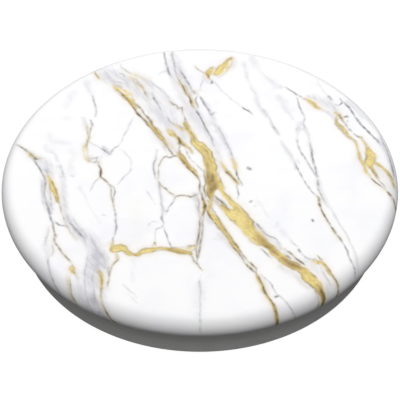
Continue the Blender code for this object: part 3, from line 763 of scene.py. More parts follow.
# %% Routes of the veins, lower left
LOWER_LEFT = """
smoke .5: -15.7 .1 .3, -15.6 -1.2 .3, -15.5 -2.4 .35, -15.2 -3.8 .3, -15 -5 .22, -14.8 -6 .15
smoke .3: -14.9 -2.6 .2, -14.8 -4.2 .25, -14.7 -5.2 .15
smoke .45: -13.9 0 .2, -13.7 -1.4 .28, -13.6 -2.8 .3, -13.5 -4.2 .28, -13.2 -5.4 .3, -12.9 -6.2 .35
smoke .75: -13.2 -6 .35, -12.6 -7 .45, -11.9 -7.9 .5, -11.1 -8.9 .6, -10.5 -9.9 .55, -10.2 -11 .55,
    -10.1 -12.2 .5, -10.1 -13.4 .4
smoke .5: -10.7 -11.8 .4, -10.9 -13 .55, -10.8 -14.6 .6, -10.6 -16.2 .6, -10.5 -17.6 .6, -10.3 -19 .6,
    -10.2 -20.4 .6
smoke .5: -9.6 -10.6 .35, -9.2 -11.6 .25, -9.3 -12.8 .2
smoke .4: -9.9 -12.4 .5, -9.8 -14 .6, -9.8 -15.6 .6, -9.8 -17.4 .6, -9.7 -19.4 .6
smoke .3: -12 -13.5 .3, -11.8 -15 .4, -11.6 -16.5 .4, -11.4 -18 .4, -11.3 -20 .4
smoke .3: -15.1 -7 .15, -15.2 -8.4 .2, -15.2 -9.6 .25, -15 -11 .3, -14.9 -12.4 .2, -14.7 -14 .2,
    -14.6 -15.5 .2
smoke .16: -12 -1.4 .2, -11.6 -2.6 .15, -11.1 -3.9 .12, -10.5 -5.2 .12, -9.9 -6.6 .12
ochre .1: -6.4 -9 .7, -6.3 -6.5 .8, -6 -3.4 .7
smoke .14: -6.6 -11.6 .3, -6.6 -13 .2, -6.6 -14.6 .2
smoke .3: -4.5 3 .14, -4.6 1.8 .2, -4.5 .6 .16
smoke .3: -4.1 -.8 .14, -4 -2.2 .14, -3.8 -3.6 .18, -3.7 -4.9 .14, -3.8 -6 .1
smoke .3: -.1 -6.6 .2, -.1 -8 .22, -.1 -9.4 .22
hair .45: -15.7 .2 .14, -15.6 -.4 .08, -15.5 -1.4 .07, -15.6 -2.6 .1, -15.4 -3.2 .08
hair .55: -15.4 -3.4 .06, -15.2 -4.3 .09, -15 -5 .07, -14.8 -5.8 .08, -14.6 -6.6 .08, -14.5 -7.4 .1
hair .3: -15.9 -.6 .05, -15.8 -2.2 .06, -15.7 -3.6 .05, -15.4 -4.8 .05
hair .3: -15.2 -.6 .06, -15 -2 .06, -14.9 -3.4 .07, -14.7 -4.6 .06
umber .7: -14.6 -6.9 .06, -14.5 -7.7 .1, -14.4 -8.4 .16, -14.4 -8.9 .12, -14.2 -9.5 .07,
    -13.9 -10.1 .07, -13.4 -10.9 .07, -12.9 -11.7 .07, -12.6 -12.3 .08
umber .4: -14.5 -9 .06, -14.6 -9.7 .08, -14.5 -10.4 .07, -14.6 -11.1 .05
gold .85: -12.6 -12.5 .06, -12.6 -12.9 .22, -12.5 -13.3 .16, -12.3 -13.6 .07
umber .45: -12.5 -13.2 .05, -12.3 -13.6 .08, -12.1 -14 .08, -11.9 -14.3 .05
gold .4: -12.7 -13.2 .1, -12.9 -14 .14, -12.9 -14.8 .14, -13 -15.5 .16, -13 -16.2 .16, -13 -16.9 .14,
    -13 -17.6 .14
hair .35: -12.8 -14.4 .05, -12.8 -15.3 .06, -12.8 -16.2 .08, -12.8 -17.1 .08
hair .5: -14.5 -6.1 .06, -14.2 -6.6 .08, -13.9 -6.9 .09, -13.5 -6.9 .08, -13.3 -7.1 .06
gold .9: -15.3 .3 .06, -15.1 -.3 .14, -14.9 -.9 .22, -14.7 -1.6 .26, -14.5 -2.3 .2, -14.3 -2.9 .14,
    -14.2 -3.5 .07
umber .55: -15.1 -.2 .07, -14.7 -1 .08, -14.4 -2 .1, -14.2 -2.8 .12, -14.1 -3.6 .1, -13.9 -4.4 .1,
    -13.8 -5.1 .07
umber .4: -13.8 -5 .05, -13.6 -5.7 .06, -13.5 -6.4 .07, -13.2 -7 .08, -12.9 -7.7 .08, -12.6 -8.2 .07,
    -12.2 -8.8 .05
hair .45: -12.9 -6.5 .1, -12.6 -7 .08, -12.3 -7.5 .1, -12 -7.9 .08, -11.8 -8.3 .12, -11.5 -8.6 .05
hair .3: -12.6 -5.9 .05, -12.2 -6.8 .07, -11.7 -7.6 .05
hair .2: -11.1 -10.4 .06, -11.1 -11.8 .08, -11.3 -13 .1, -11.3 -14.4 .08, -11.2 -15.8 .08,
    -11.1 -17.4 .08
hair .16: -10.4 -13 .1, -10.5 -14.6 .1, -10.3 -16.2 .12, -10.2 -17.8 .12
hair .16: -9.9 -10.4 .06, -9.5 -11.4 .06, -9.2 -12.6 .06
hair .3: -15.1 -7.4 .1, -15.1 -8.2 .06, -15.3 -9 .08, -15.3 -9.6 .06
hair .3: -14.9 -11.2 .06, -14.9 -12.4 .07, -14.8 -13.6 .08, -14.7 -14.8 .08, -14.6 -15.8 .08
umber .55: -9.3 -.8 .05, -9 -1.4 .07, -8.9 -2.2 .07, -8.8 -3 .07, -8.6 -3.8 .08, -8.5 -4.7 .07
hair .5: -9.2 -1 .05, -8.8 -1.3 .07, -8.6 -1.7 .09, -8.5 -2.3 .06, -8.6 -3.2 .05
hair .5: -8.5 -4.6 .06, -8.4 -5.6 .08, -8.4 -6.4 .07, -8.3 -7.1 .09, -8.4 -7.8 .08, -8.6 -8.6 .08,
    -8.6 -9.4 .07
hair .4: -10 .1 .05, -10.3 -.4 .06, -10.7 -1 .08, -10.8 -1.3 .09, -11 -1.9 .09
hair .15: -9.7 -5.4 .1, -9.4 -5.5 .08
gold 1: -8.7 -9.4 .06, -8.6 -9.9 .2, -8.4 -10.2 .42, -8 -10 .45, -7.7 -9.9 .38, -7.4 -10.3 .24,
    -7 -10.7 .24, -6.6 -10.9 .2, -6.2 -10.9 .2, -5.8 -10.6 .26, -5.4 -10.4 .34, -4.9 -10.4 .34,
    -4.5 -10.2 .24, -4 -10.1 .14, -3.5 -10.1 .16, -3 -10.2 .2
gold 1: -3 -10.2 .2, -2.5 -10.4 .26, -2 -10.5 .32, -1.5 -10.6 .3, -1.1 -10.7 .2, -.9 -11 .1
gold .6: -1.4 -10.3 .15, -.9 -10.1 .3, -.5 -9.9 .25
umber .4: -6.9 -10.9 .08, -6.4 -11 .1, -6.1 -11.2 .08, -5.9 -10.9 .07
umber .35: -6 -10.2 .07, -5.4 -10.1 .08, -4.8 -10.1 .07, -4.1 -10 .07, -3.4 -9.9 .08, -2.8 -10 .1,
    -2.2 -10 .1, -1.6 -9.9 .08
umber .45: -4.9 -10.7 .07, -4.4 -10.5 .08, -3.7 -10.3 .08, -3 -10.4 .1, -2.3 -10.6 .12, -1.6 -10.8 .12,
    -1 -11 .1
gold .6: -4.7 -9.9 .05, -4.5 -9.4 .09, -4.3 -9.8 .05
umber .5: -4.7 -9.8 .04, -4.5 -9.2 .07, -4.3 -9.7 .05
umber .6: -1.1 -10.9 .08, -.8 -11.3 .11, -.6 -11.8 .14, -.3 -12.2 .11, -.1 -12.6 .08, .1 -12.9 .07,
    .3 -13.2 .05
umber .6: -.5 -9.8 .09, -.4 -10.4 .09, -.3 -11 .1, -.3 -11.6 .12, -.3 -12 .08
hair .45: -1.4 -9.9 .07, -1.1 -9.7 .1, -.7 -9.7 .1, -.4 -9.6 .08
gold .6: -8.3 -10.5 .1, -8.2 -11.1 .12, -8.2 -11.7 .1, -8.5 -12.2 .07, -8.7 -12.8 .07
umber .55: -8 -11.2 .05, -8.1 -11.8 .09, -8.4 -12.2 .08, -8.7 -12.7 .07, -8.8 -13.3 .08, -8.9 -14 .09,
    -9 -14.7 .08, -9 -15.4 .06
hair .45: -9 -12.2 .06, -9 -12.9 .09, -9 -13.5 .07
gold .8: -9.9 -13.2 .06, -9.7 -13.8 .14, -9.6 -14.5 .18, -9.6 -15.1 .14, -9.6 -15.7 .08
umber .5: -10.1 -13.4 .06, -9.8 -13.8 .08, -9.6 -14.6 .1, -9.6 -15.4 .09, -9.7 -16.2 .09, -9.6 -17 .09,
    -9.5 -17.6 .08
umber .7: -9.5 -17.4 .06, -9.4 -18 .09, -9.3 -18.6 .1, -9.2 -19.2 .12, -9.1 -19.8 .12, -9 -20.4 .12,
    -9 -21 .1
gold .5: -9.8 -16.4 .07, -9.6 -17.4 .08, -9.4 -18.5 .08, -9.2 -19.6 .08, -9.1 -20.6 .08
hair .5: -4.3 4 .08, -4.4 3.2 .06, -4.6 2.3 .06, -4.7 1.4 .07, -4.6 .5 .06, -4.4 -.3 .06
umber .5: -3 3 .06, -3.4 3.1 .07, -3.8 2.7 .06, -4 2.1 .06, -4.1 1.3 .08, -4.2 .5 .09, -4.2 -.1 .08,
    -4.2 -.6 .07
umber .65: -4.2 -.5 .05, -3.9 -1.1 .07, -3.5 -1.6 .07, -3.2 -2 .06, -2.8 -2.4 .08, -2.5 -2.8 .12
umber .75: -2.5 -3 .1, -2.4 -2.8 .12, -2 -2.6 .1, -1.6 -2.6 .1, -1.2 -2.7 .08, -.9 -2.8 .07,
    -.5 -2.6 .08, -.2 -2.4 .08
hair .55: -2.5 -3 .06, -2.7 -3.6 .07, -3 -4.2 .07, -3.3 -4.9 .08, -3.4 -5.3 .07
hair .4: -4.2 -.6 .05, -4 -1.8 .05, -3.9 -3 .05, -3.7 -4 .07, -3.5 -4.8 .07, -3.4 -5.3 .05
hair .4: -3.7 -4.2 .05, -3.8 -5.2 .08, -3.8 -5.9 .1, -3.6 -6.5 .05, -3.7 -6.9 .05
hair .5: -3.6 -6.9 .09, -3.5 -7.5 .06, -3.3 -8.2 .06, -3.1 -9 .05, -2.9 -9.6 .06, -2.8 -10 .08
hair .45: -3.7 -6.9 .06, -3.9 -7.1 .07, -4.2 -7.3 .08, -4.4 -7.4 .05
hair .25: -4.4 -7.4 .05, -4.4 -8.4 .05, -4.5 -9.3 .05
hair .25: -5.2 -7.2 .08, -5 -6.6 .08, -4.6 -6.3 .08, -4.2 -6.4 .06
hair .22: -5.5 -1.7 .05, -5.1 -2.4 .06, -4.7 -3.2 .05, -4.4 -3.8 .05
hair .25: -7.5 -15.1 .04, -6.9 -15.8 .05, -6.5 -16.3 .05, -6.2 -16.9 .04
hair .16: -7 -16.4 .04, -6.5 -17 .05, -6.1 -17.6 .04
hair .25: .02 -13.8 .05, .03 -14.5 .08, .04 -15.6 .06, .04 -17 .05, .05 -18.6 .06, .05 -20 .08,
    .05 -21.4 .1
smoke .2: 0 -15 .4, 0 -17 .5, 0 -19 .5
"""

# %% Routes of the veins, lower right
LOWER_RIGHT = """
smoke .2: 5.6 -3.1 .12, 6.1 -3.9 .22, 6.5 -4.9 .12, 6.9 -5.7 .08
smoke .25: 7.8 -6.4 .12, 7.6 -7 .14
smoke .25: 8 -7.6 .2, 8.6 -8.3 .2, 9 -9 .12
smoke .5: 5.6 -6.9 .2, 6.2 -7.9 .35, 6.8 -8.7 .35, 7.4 -9.4 .35, 7.9 -10.1 .3
smoke .5: 8.4 -10.9 .3, 9.2 -11.7 .25, 9.9 -12.4 .25
smoke .35: 8 -12.6 .25, 9 -13.5 .3, 9.8 -14.4 .3, 10.6 -15.4 .3
smoke .3: 10.4 -11.9 .5, 11.2 -12.7 .5, 11.8 -13.7 .5, 12.4 -14.8 .5, 12.8 -15.8 .4
smoke .35: 1.9 -8.1 .2, 2.5 -9.1 .2, 3.1 -10 .2, 3.8 -11.1 .15, 4.3 -12 .12
smoke .25: 5.9 -14 .2, 6.4 -15.4 .25, 6.7 -16.6 .2
smoke .35: 1.4 -3 .2, 2 -4 .25, 2.6 -5 .2, 3.2 -6 .15
smoke .35: 12 -1 .22, 12.3 -2.4 .22, 12.8 -3.8 .16, 13.3 -5.2 .12, 13.9 -6.6 .1
smoke .2: 13.9 -6.6 .1, 14.5 -8 .1, 14.9 -9.4 .12, 15.3 -10.8 .16, 15.5 -12.2 .25, 15.6 -13.6 .4
smoke .45: .2 -1.4 .25, .4 -2.2 .3, -.4 -2.4 .25
smoke .45: 1 -3.4 .35, 1 -4.4 .3, .8 -5.4 .3, 1.2 -6.4 .25
smoke .4: -.1 -3.2 .12, -.1 -4.6 .12, 0 -5.8 .1
smoke .25: 11.5 -16 .3, 11.3 -17 .3, 9.4 -18.4 .3
smoke .5: -.5 -2.4 .3, -.4 -3.4 .25, -.2 -4.4 .2, .1 -5.4 .15
smoke .45: .3 -5 .15, .2 -6.5 .2, .1 -8 .2, -.05 -9.6 .3, -.2 -10.4 .25
umber .55: .45 -5.2 .08, .35 -6.2 .06, .3 -7.2 .07, .25 -8.2 .07, .1 -9.2 .08, .05 -9.8 .1,
    -.05 -10.6 .09, -.15 -11.4 .08
gold 1: -.1 4.7 .5, .4 4 .5, .8 3.2 .46, 1 2.4 .5, 1.1 1.5 .58, 1.15 .6 .62, 1.25 -.3 .68, 1.3 -1.1 .7,
    1.2 -1.8 .45, 1 -2.4 .3
gold .75: 1.8 -.4 .3, 2.1 -1.1 .25, 2.3 -1.7 .15
umber .45: .3 4.4 .12, .7 3.7 .08, 1 2.9 .06, 1.2 2.2 .06
umber .4: .7 2.2 .12, .8 1.2 .16, .8 .2 .2, .9 -.7 .2, 1 -1.4 .25
umber .5: 1.2 .6 .12, 1.3 -.2 .2, 1.2 -1 .35, 1.2 -1.6 .3, 1.5 -1.2 .25, 1.1 -2.2 .2
umber .35: 1.9 1 .06, 1.9 .2 .1, 2.1 -.4 .1, 2.2 -1 .14
umber .7: .5 1 .05, .5 .2 .07, .6 -.8 .08, .5 -1.8 .08, .6 -2.6 .1, .4 -3.2 .1
umber .85: .1 -2.2 .09, .3 -3 .12, .4 -3.7 .16, .45 -4.3 .22, .4 -4.8 .17, .3 -5.3 .14, .1 -5.8 .1
gold .9: .4 -3.4 .1, .45 -4.1 .2, .4 -4.8 .16, .3 -5.3 .1
umber .65: .1 -5.7 .09, 0 -6.5 .09, -.05 -7.4 .09, -.1 -8.2 .08, -.2 -9 .08, -.25 -9.7 .09
umber .4: -.2 -2.8 .06, -.1 -3.6 .07, -.1 -4.6 .08, 0 -5.4 .08
umber .6: .7 -3.2 .08, .9 -3.8 .06, 1.3 -4.6 .06, 1.7 -5.5 .06, 2 -6.2 .06, 2.4 -7.2 .06, 2.9 -8.1 .08,
    3.3 -9 .08, 3.8 -10.1 .1, 4.1 -10.7 .1, 4.4 -11.3 .1, 4.7 -11.8 .1
gold .85: 1 -2.6 .3, 1.1 -3.3 .16, 1 -4 .14, .9 -4.7 .16, 1.2 -5.3 .24, 1.6 -6 .34, 2 -6.8 .28,
    2.4 -7.5 .24, 2.7 -8.2 .24, 3 -8.9 .24, 3.4 -9.6 .18, 3.7 -10.3 .12, 4 -10.8 .07
umber .7: .6 -4.4 .1, .8 -5 .1, 1.1 -5.8 .09, 1.5 -6.6 .07, 1.9 -7.3 .06, 2.4 -8.1 .07, 2.8 -9 .07,
    3.2 -9.7 .08, 3.6 -10.4 .07, 4 -11.1 .08, 4.4 -11.9 .08
umber .8: 4.7 -11.8 .1, 5 -12.1 .09, 5.3 -12.5 .1, 5.5 -12.9 .07, 5.6 -13.4 .09
umber .85: 4.4 -12 .07, 4.7 -12.5 .1, 5 -12.9 .12, 5.3 -13.2 .1, 5.6 -13.5 .09
gold .35: 4.8 -12.1 .14, 5.1 -12.6 .2, 5.4 -13.1 .14
gold .85: 5.6 -13.6 .08, 5.8 -14.3 .14, 6 -15 .17, 6.25 -15.8 .16, 6.5 -16.6 .12, 6.9 -17.4 .12,
    7.3 -18.2 .13, 7.7 -19 .16, 8.1 -19.8 .16, 8.4 -20.5 .14, 8.6 -21.2 .1
umber .7: 5.6 -13.5 .08, 5.9 -14.2 .1, 6.1 -15 .09, 6.25 -15.6 .12, 6.5 -16.4 .1, 6.9 -17.2 .1,
    7.3 -18 .12, 7.7 -18.8 .13, 8 -19.5 .16, 8.4 -20.4 .14
umber .6: 1.4 -2.5 .07, 1.8 -3 .1, 2.2 -3.6 .12, 2.6 -4.1 .16, 2.9 -4.6 .12
smoke .6: 1.5 -2.8 .2, 2.1 -3.6 .3, 2.7 -4.4 .3
gold .6: 1.6 -3.3 .06, 2.1 -4.1 .14, 2.6 -4.8 .26, 3.2 -5.5 .3
gold .9: 1.8 -1.3 .3, 2.1 -1.8 .22, 2.4 -2.3 .2, 2.6 -2.6 .2, 2.9 -3.1 .24, 3.2 -3.7 .36, 3.7 -4.3 .4,
    4.1 -4.9 .42, 4.4 -5.6 .45, 4.6 -6.3 .4
umber .35: 2.2 -1.8 .08, 2.6 -2.4 .08, 3 -3 .09, 3.5 -3.7 .08
gold 1: 2.2 -3.9 .1, 2.7 -4.7 .35, 3.3 -5.3 .6, 4 -5.9 .75, 4.5 -6.6 .7, 4.9 -7.3 .62, 5.4 -8 .58,
    5.9 -8.7 .5, 6.4 -9.3 .45, 6.9 -9.9 .42, 7.4 -10.6 .44, 7.9 -11.2 .48
gold 1: 7.9 -11.2 .48, 8.5 -11.9 .48, 9.1 -12.4 .46, 9.8 -12.9 .48, 10.3 -13.5 .52, 10.7 -14.1 .56,
    11.1 -14.7 .55, 11.6 -15.2 .44, 12 -15.8 .32, 12.5 -16.4 .26, 12.9 -17 .24, 13.3 -17.6 .24,
    13.7 -18.2 .2
gold .6: 3.5 -6.4 .16, 4 -7.1 .22, 4.5 -7.8 .24, 5.1 -8.7 .24, 5.8 -9.5 .2
umber .4: 6.2 -9.3 .12, 6.7 -9.9 .22, 7.2 -10.5 .2, 7.7 -11.1 .16
umber .45: 8.2 -11.4 .1, 8.7 -12 .24, 9.2 -12.4 .18, 9.7 -12.6 .14, 10.2 -12.9 .1
umber .3: 5 -6.9 .06, 5.6 -7.8 .1, 6.1 -8.7 .12, 6.7 -9.4 .14
umber .35: 8.4 -12.4 .08, 9 -12.9 .08, 9.6 -13.3 .09, 10 -13.9 .08, 10.5 -14.7 .07
umber .75: 11.7 -15.2 .1, 12.1 -15.8 .16, 12.6 -16.4 .18, 13 -17 .2, 13.4 -17.6 .2, 13.8 -18.2 .16
umber .4: 10.9 -15.2 .06, 11.4 -15.9 .08, 11.9 -16.6 .1, 12.3 -17.2 .1, 12.7 -17.9 .1
hair .45: 5.2 -6.2 .05, 5.6 -6.6 .07, 6 -7.2 .07, 6.4 -7.8 .06, 6.8 -8.3 .07, 7.2 -8.5 .09,
    7.5 -8.7 .08, 7.8 -9.2 .06, 8.1 -9.7 .08
umber .75: 8.4 -10.1 .06, 8.8 -10.5 .09, 9.2 -11.1 .1, 9.6 -11.6 .1, 10 -12 .1, 10.4 -12.5 .09
umber .4: 10.3 -12.5 .07, 10.7 -13.2 .06, 11.1 -13.8 .06, 11.5 -14.5 .05
hair .5: 6 -10 .06, 6.3 -10.5 .09, 6.7 -11 .08, 7.1 -11.5 .05
hair .45: 8.6 -11.1 .1, 8.9 -11.5 .08
hair .35: 9 -8.9 .1, 9.2 -9.3 .06, 9.5 -9.7 .05, 9.8 -10.2 .06
hair .6: 9.8 -10.3 .12, 9.9 -10.6 .1
hair .4: 9.9 -10.5 .05, 10.3 -11.1 .05, 10.6 -11.5 .06, 11 -11.6 .06, 11.3 -11.4 .07
gold .55: 11.1 -11.7 .08, 11.4 -12 .22, 11.7 -12 .22, 11.8 -11.6 .12
umber .5: 11 -11.9 .06, 11.3 -11.6 .06, 11.6 -11.9 .06, 11.8 -12.3 .05
umber .5: 11.6 -11.1 .07, 11.8 -11.4 .09, 12 -11.6 .08
gold .85: 11.9 -11.7 .1, 12.2 -12.3 .14, 12.5 -12.9 .14, 12.8 -13.5 .12, 13.2 -14.1 .08, 13.7 -14.8 .07
umber .7: 12.1 -11.9 .04, 12.6 -12.8 .06, 13.1 -13.8 .08, 13.6 -14.5 .1, 14.1 -15.2 .12, 14.6 -15.8 .12,
    15 -16.4 .12
hair .35: 11.8 -12.6 .05, 12.1 -13.3 .05, 12.5 -14.2 .06, 12.8 -14.9 .05
hair .5: 10.4 -.2 .09, 10.6 -.8 .06, 10.9 -1.4 .06, 11.3 -2.1 .07, 11.7 -2.7 .08
umber .75: 11.7 -2.6 .1, 11.9 -3 .14, 11.95 -3.7 .12, 12.1 -4.5 .09, 12.3 -5.2 .08, 12.6 -5.9 .07,
    12.9 -6.7 .07
gold .5: 11.9 -2.8 .1, 12 -3.5 .12, 12 -4.2 .07
hair .6: 12.9 -6.6 .07, 13.2 -7.3 .09, 13.5 -8 .09, 13.8 -8.6 .09, 14.1 -9.2 .07, 14.4 -10 .06,
    14.7 -11 .06, 15 -11.9 .07, 15.4 -12.7 .08, 15.9 -13.4 .1
gold .5: 13.2 -7.3 .08, 13.5 -8 .1, 13.9 -8.8 .07
hair .35: 11.8 -.4 .14, 11.9 -1.4 .1, 12.1 -2.4 .07, 12.4 -3.3 .06, 12.8 -4.2 .05
hair .2: 13.3 -5.2 .05, 13.9 -6.6 .05, 14.5 -8 .05, 15 -9.6 .06, 15.4 -11 .06, 15.8 -12.2 .08,
    16.3 -13.2 .08
umber .7: 17 .2 .08, 17.4 -.3 .1, 17.8 -.8 .09, 18.3 -1.4 .09, 18.8 -2 .1, 19.3 -2.6 .12, 19.7 -3.1 .15,
    20.1 -3.6 .16, 20.5 -4.1 .12
umber .6: 18 -.2 .08, 18.3 -.8 .1, 18.6 -1.5 .1, 18.9 -2.3 .1, 19.2 -3 .12
gold .5: 17.1 .2 .08, 17.6 -.6 .08, 18.1 -1.3 .07, 18.7 -2 .07, 19.3 -2.7 .07
hair .5: 5.15 -3.4 .13, 5.05 -3.5 .11
hair .16: 5.6 -4.2 .1, 5.5 -4 .06
hair .55: 11.3 -6.1 .13, 11.3 -6.3 .1
hair .5: 3.7 -1.1 .05, 3.8 -1.6 .07, 3.9 -2.1 .09, 3.9 -2.6 .06, 3.8 -3 .04
hair .5: 6.8 -14.7 .1, 7 -15.2 .07, 7.2 -15.8 .07, 7.4 -16.2 .09, 7.6 -16.5 .1
hair .5: 7.4 -16.8 .13, 7.6 -16.7 .1
hair .35: 7.6 -16.4 .05, 8.2 -17.1 .05, 8.8 -17.7 .05, 9.4 -18.3 .06, 10 -18.9 .07, 10.5 -19.5 .07,
    11 -20.1 .07
hair .25: 6.1 -13.7 .05, 6.4 -14.2 .06, 6.8 -14.8 .06
hair .12: 1.4 -8.8 .1, 2 -8.9 .1
"""

# %% Routes of the veins, darker gold
BRONZE = """
bronze .35: .2 4.4 .25, .6 3.4 .25, .9 2.2 .3, 1.1 1.2 .35
bronze .8: .9 .4 .3, 1.1 -.3 .45, 1.2 -1 .55, 1.4 -1.6 .4, 1 -2.2 .3, .9 -3 .2
bronze .5: 2.2 -3.9 .2, 2.7 -4.6 .2
bronze .3: 3.6 -4.3 .12, 4.3 -5.2 .12, 4.8 -6.2 .12
bronze .8: 5.7 -8.4 .2, 6.2 -9.1 .35, 6.8 -9.7 .35, 7.3 -10.4 .3, 7.7 -10.9 .2
bronze .85: 8.1 -11.4 .25, 8.7 -12 .4, 9.3 -12.5 .4, 9.9 -12.9 .25
bronze .7: 11.5 -15.1 .2, 12 -15.8 .3, 12.6 -16.6 .3
bronze .5: 1.6 -6 .1, 2.2 -7.2 .15, 2.8 -8.4 .2, 3.4 -9.5 .15
bronze .4: -8 12.3 .1, -7.4 11.4 .12, -6.9 10.6 .12
bronze .6: -2 3.2 .15, -1.6 2.3 .2, -1.1 1.4 .15
bronze .6: -3 -10.2 .2, -2.2 -10.5 .25, -1.4 -10.6 .2
bronze .4: -7.3 -10.5 .12, -6.3 -10.9 .12
bronze .4: .8 15 .2, 1 15.7 .2
bronze .6: 13.9 8.6 .1, 14.3 7.5 .12
"""
ROUTES = UPPER_LEFT + UPPER_RIGHT + LOWER_LEFT + LOWER_RIGHT + BRONZE
print(ROUTES.count(":"), "veins")

# %% [markdown]
# ### Where the veins lie
#
# The print starts as a flat pattern and is wrapped over the rim, so every point of the disc has a place on
# that pattern: its distance from the centre is measured along the surface. This keeps the veins from being
# stretched where the surface turns down.

# %% Wrap the pattern over the disc
FLAT_RADIUS = TOP_RADIUS - RIM_REACH
NOWHERE = 1000.0                # a place that no vein comes near


def places_on_print(points):
    """Flat places in mm for points on the shell. Inner faces get a place far away, where there is no ink."""
    radius = np.hypot(points[:, 0], points[:, 1])
    across, up = (radius - FLAT_RADIUS) / RIM_REACH, (points[:, 2] - RIM_MIDDLE) / (THICKNESS / 2)
    turns = np.radians(np.linspace(90, -60, 200))
    steps = np.hypot(np.diff(RIM_REACH * np.cos(turns)), np.diff(THICKNESS / 2 * np.sin(turns)))
    lengths = np.concatenate([[0], np.cumsum(steps)])
    on_rim = across > 0
    turn = np.where(on_rim, np.arctan2(up, across), np.pi / 2)
    reach = np.where(on_rim, FLAT_RADIUS + np.interp(-turn, -turns, lengths), radius)
    places = points[:, :2] / np.maximum(radius, 1e-6)[:, None] * reach[:, None]
    inner = np.where(on_rim, across**2 + up**2 < 0.9, points[:, 2] < DISC_TOP - FILM / 2)
    places[inner] = NOWHERE
    return places


# %% [markdown]
# ### From routes to ink
#
# A route has only the few points that were drawn. A soft curve joins them, and the brown and grey lines
# thin out towards both ends, as a crack does. Gold has a crisp edge, washes fade over their whole width, and
# gold and brown leave a warm stain in the stone beside them.

# %% Curves through the points
def smooth_route(points):
    """A soft curve through (x, y, half-width) points, as many short steps."""
    ends = np.vstack([2 * points[0] - points[1], points, 2 * points[-1] - points[-2]])
    share = np.linspace(0, 1, 6)[:-1, None]
    made = []
    for before, start, end, after in zip(ends, ends[1:], ends[2:], ends[3:]):
        straight = (end - before) * share
        bend = (2 * before - 5 * start + 4 * end - after) * share**2
        made.append(start + (straight + bend + (3 * start - before - 3 * end + after) * share**3) / 2)
    return np.vstack(made + [points[-1:]])


def tapered(route):
    """A line longer than a millimetre thins out towards both its ends."""
    walked = np.concatenate([[0], np.cumsum(np.hypot(*np.diff(route[:, :2], axis=0).T))])
    if walked[-1] > 1:
        route[:, 2] *= np.clip(np.minimum(walked, walked[-1] - walked) / 0.6, 0.25, 1)
    return route


def read_routes(text):
    """Each vein's ink, strength and curve. A line that ends in a comma goes on in the next one."""
    for line in text.replace(",\n", ",").strip().split("\n"):
        if line:
            head, points = line.split(":")
            ink, strength = head.split()
            corners = [[float(word) for word in point.split()] for point in points.split(",")]
            route = smooth_route(np.array(corners))
            yield ink, float(strength), tapered(route) if ink in ("umber", "hair") else route


# %% Measure from a vein
FAR = 9.0                       # a distance in mm at which no vein is felt
THINNEST = 0.09                 # a finer line is drawn this wide and paler, so that the mesh can hold it
GOLD_EDGE = 0.16                # the width over which gold ends
STAIN_REACH = 0.32


def ink_at(ink, away, width):
    """How much ink there is at a distance from the middle of a vein."""
    if ink == "gold":
        return np.clip(0.5 + (width - away) / GOLD_EDGE, 0, 1)
    drawn = np.maximum(width, THINNEST)
    softness = 1.25 if ink in ("smoke", "bronze") else 1.0
    return (width / drawn) ** 0.6 * np.exp(-((away / (drawn * softness)) ** 2))


def along_route(ink, route, here, swell):
    """For each place: the ink there, the stain beside it, and the distance beyond the vein's edge."""
    most, glow, beyond_edge = np.zeros(len(here)), np.zeros(len(here)), np.full(len(here), FAR)
    for start, end in zip(route, route[1:]):
        along = end[:2] - start[:2]
        share = np.clip((here - start[:2]) @ along / max(along @ along, 1e-9), 0, 1)
        away = np.hypot(*(here - start[:2] - share[:, None] * along).T)
        width = np.maximum(start[2] + share * (end[2] - start[2]), 0.02) * swell
        most = np.maximum(most, ink_at(ink, away, width))
        beyond_edge = np.minimum(beyond_edge, away - width)
        if ink in ("gold", "umber"):
            glow = np.maximum(glow, np.exp(-((away / (width + STAIN_REACH)) ** 2)))
    return most, glow, beyond_edge


# %% [markdown]
# ### Painting the vertices
#
# `paint_veins` gives each vertex six values, one for each ink. The places are pushed about by noise first,
# so that no vein keeps the smooth curve of its route, and its width wanders the way a crack in stone does.
# Other noise breaks the lines, thins the gold in patches, and tarnishes the gold's outer edge here and there.
# The edge is measured from all the gold together, so that two veins which meet share one edge.

# %% Paint the veins
INKS = ("smoke", "ochre", "bronze", "gold", "umber", "hair")
SLOW_SIZE, SLOW_PUSH = 1.1, 0.11
QUICK_SIZE, QUICK_PUSH = 0.4, 0.05
TARNISH_WIDTH = 0.09


def wandering(places, size_mm, seed):
    """Noise from -1 to 1 for each place."""
    return np.array([noise.noise((x / size_mm, y / size_mm, seed)) for x, y in places])


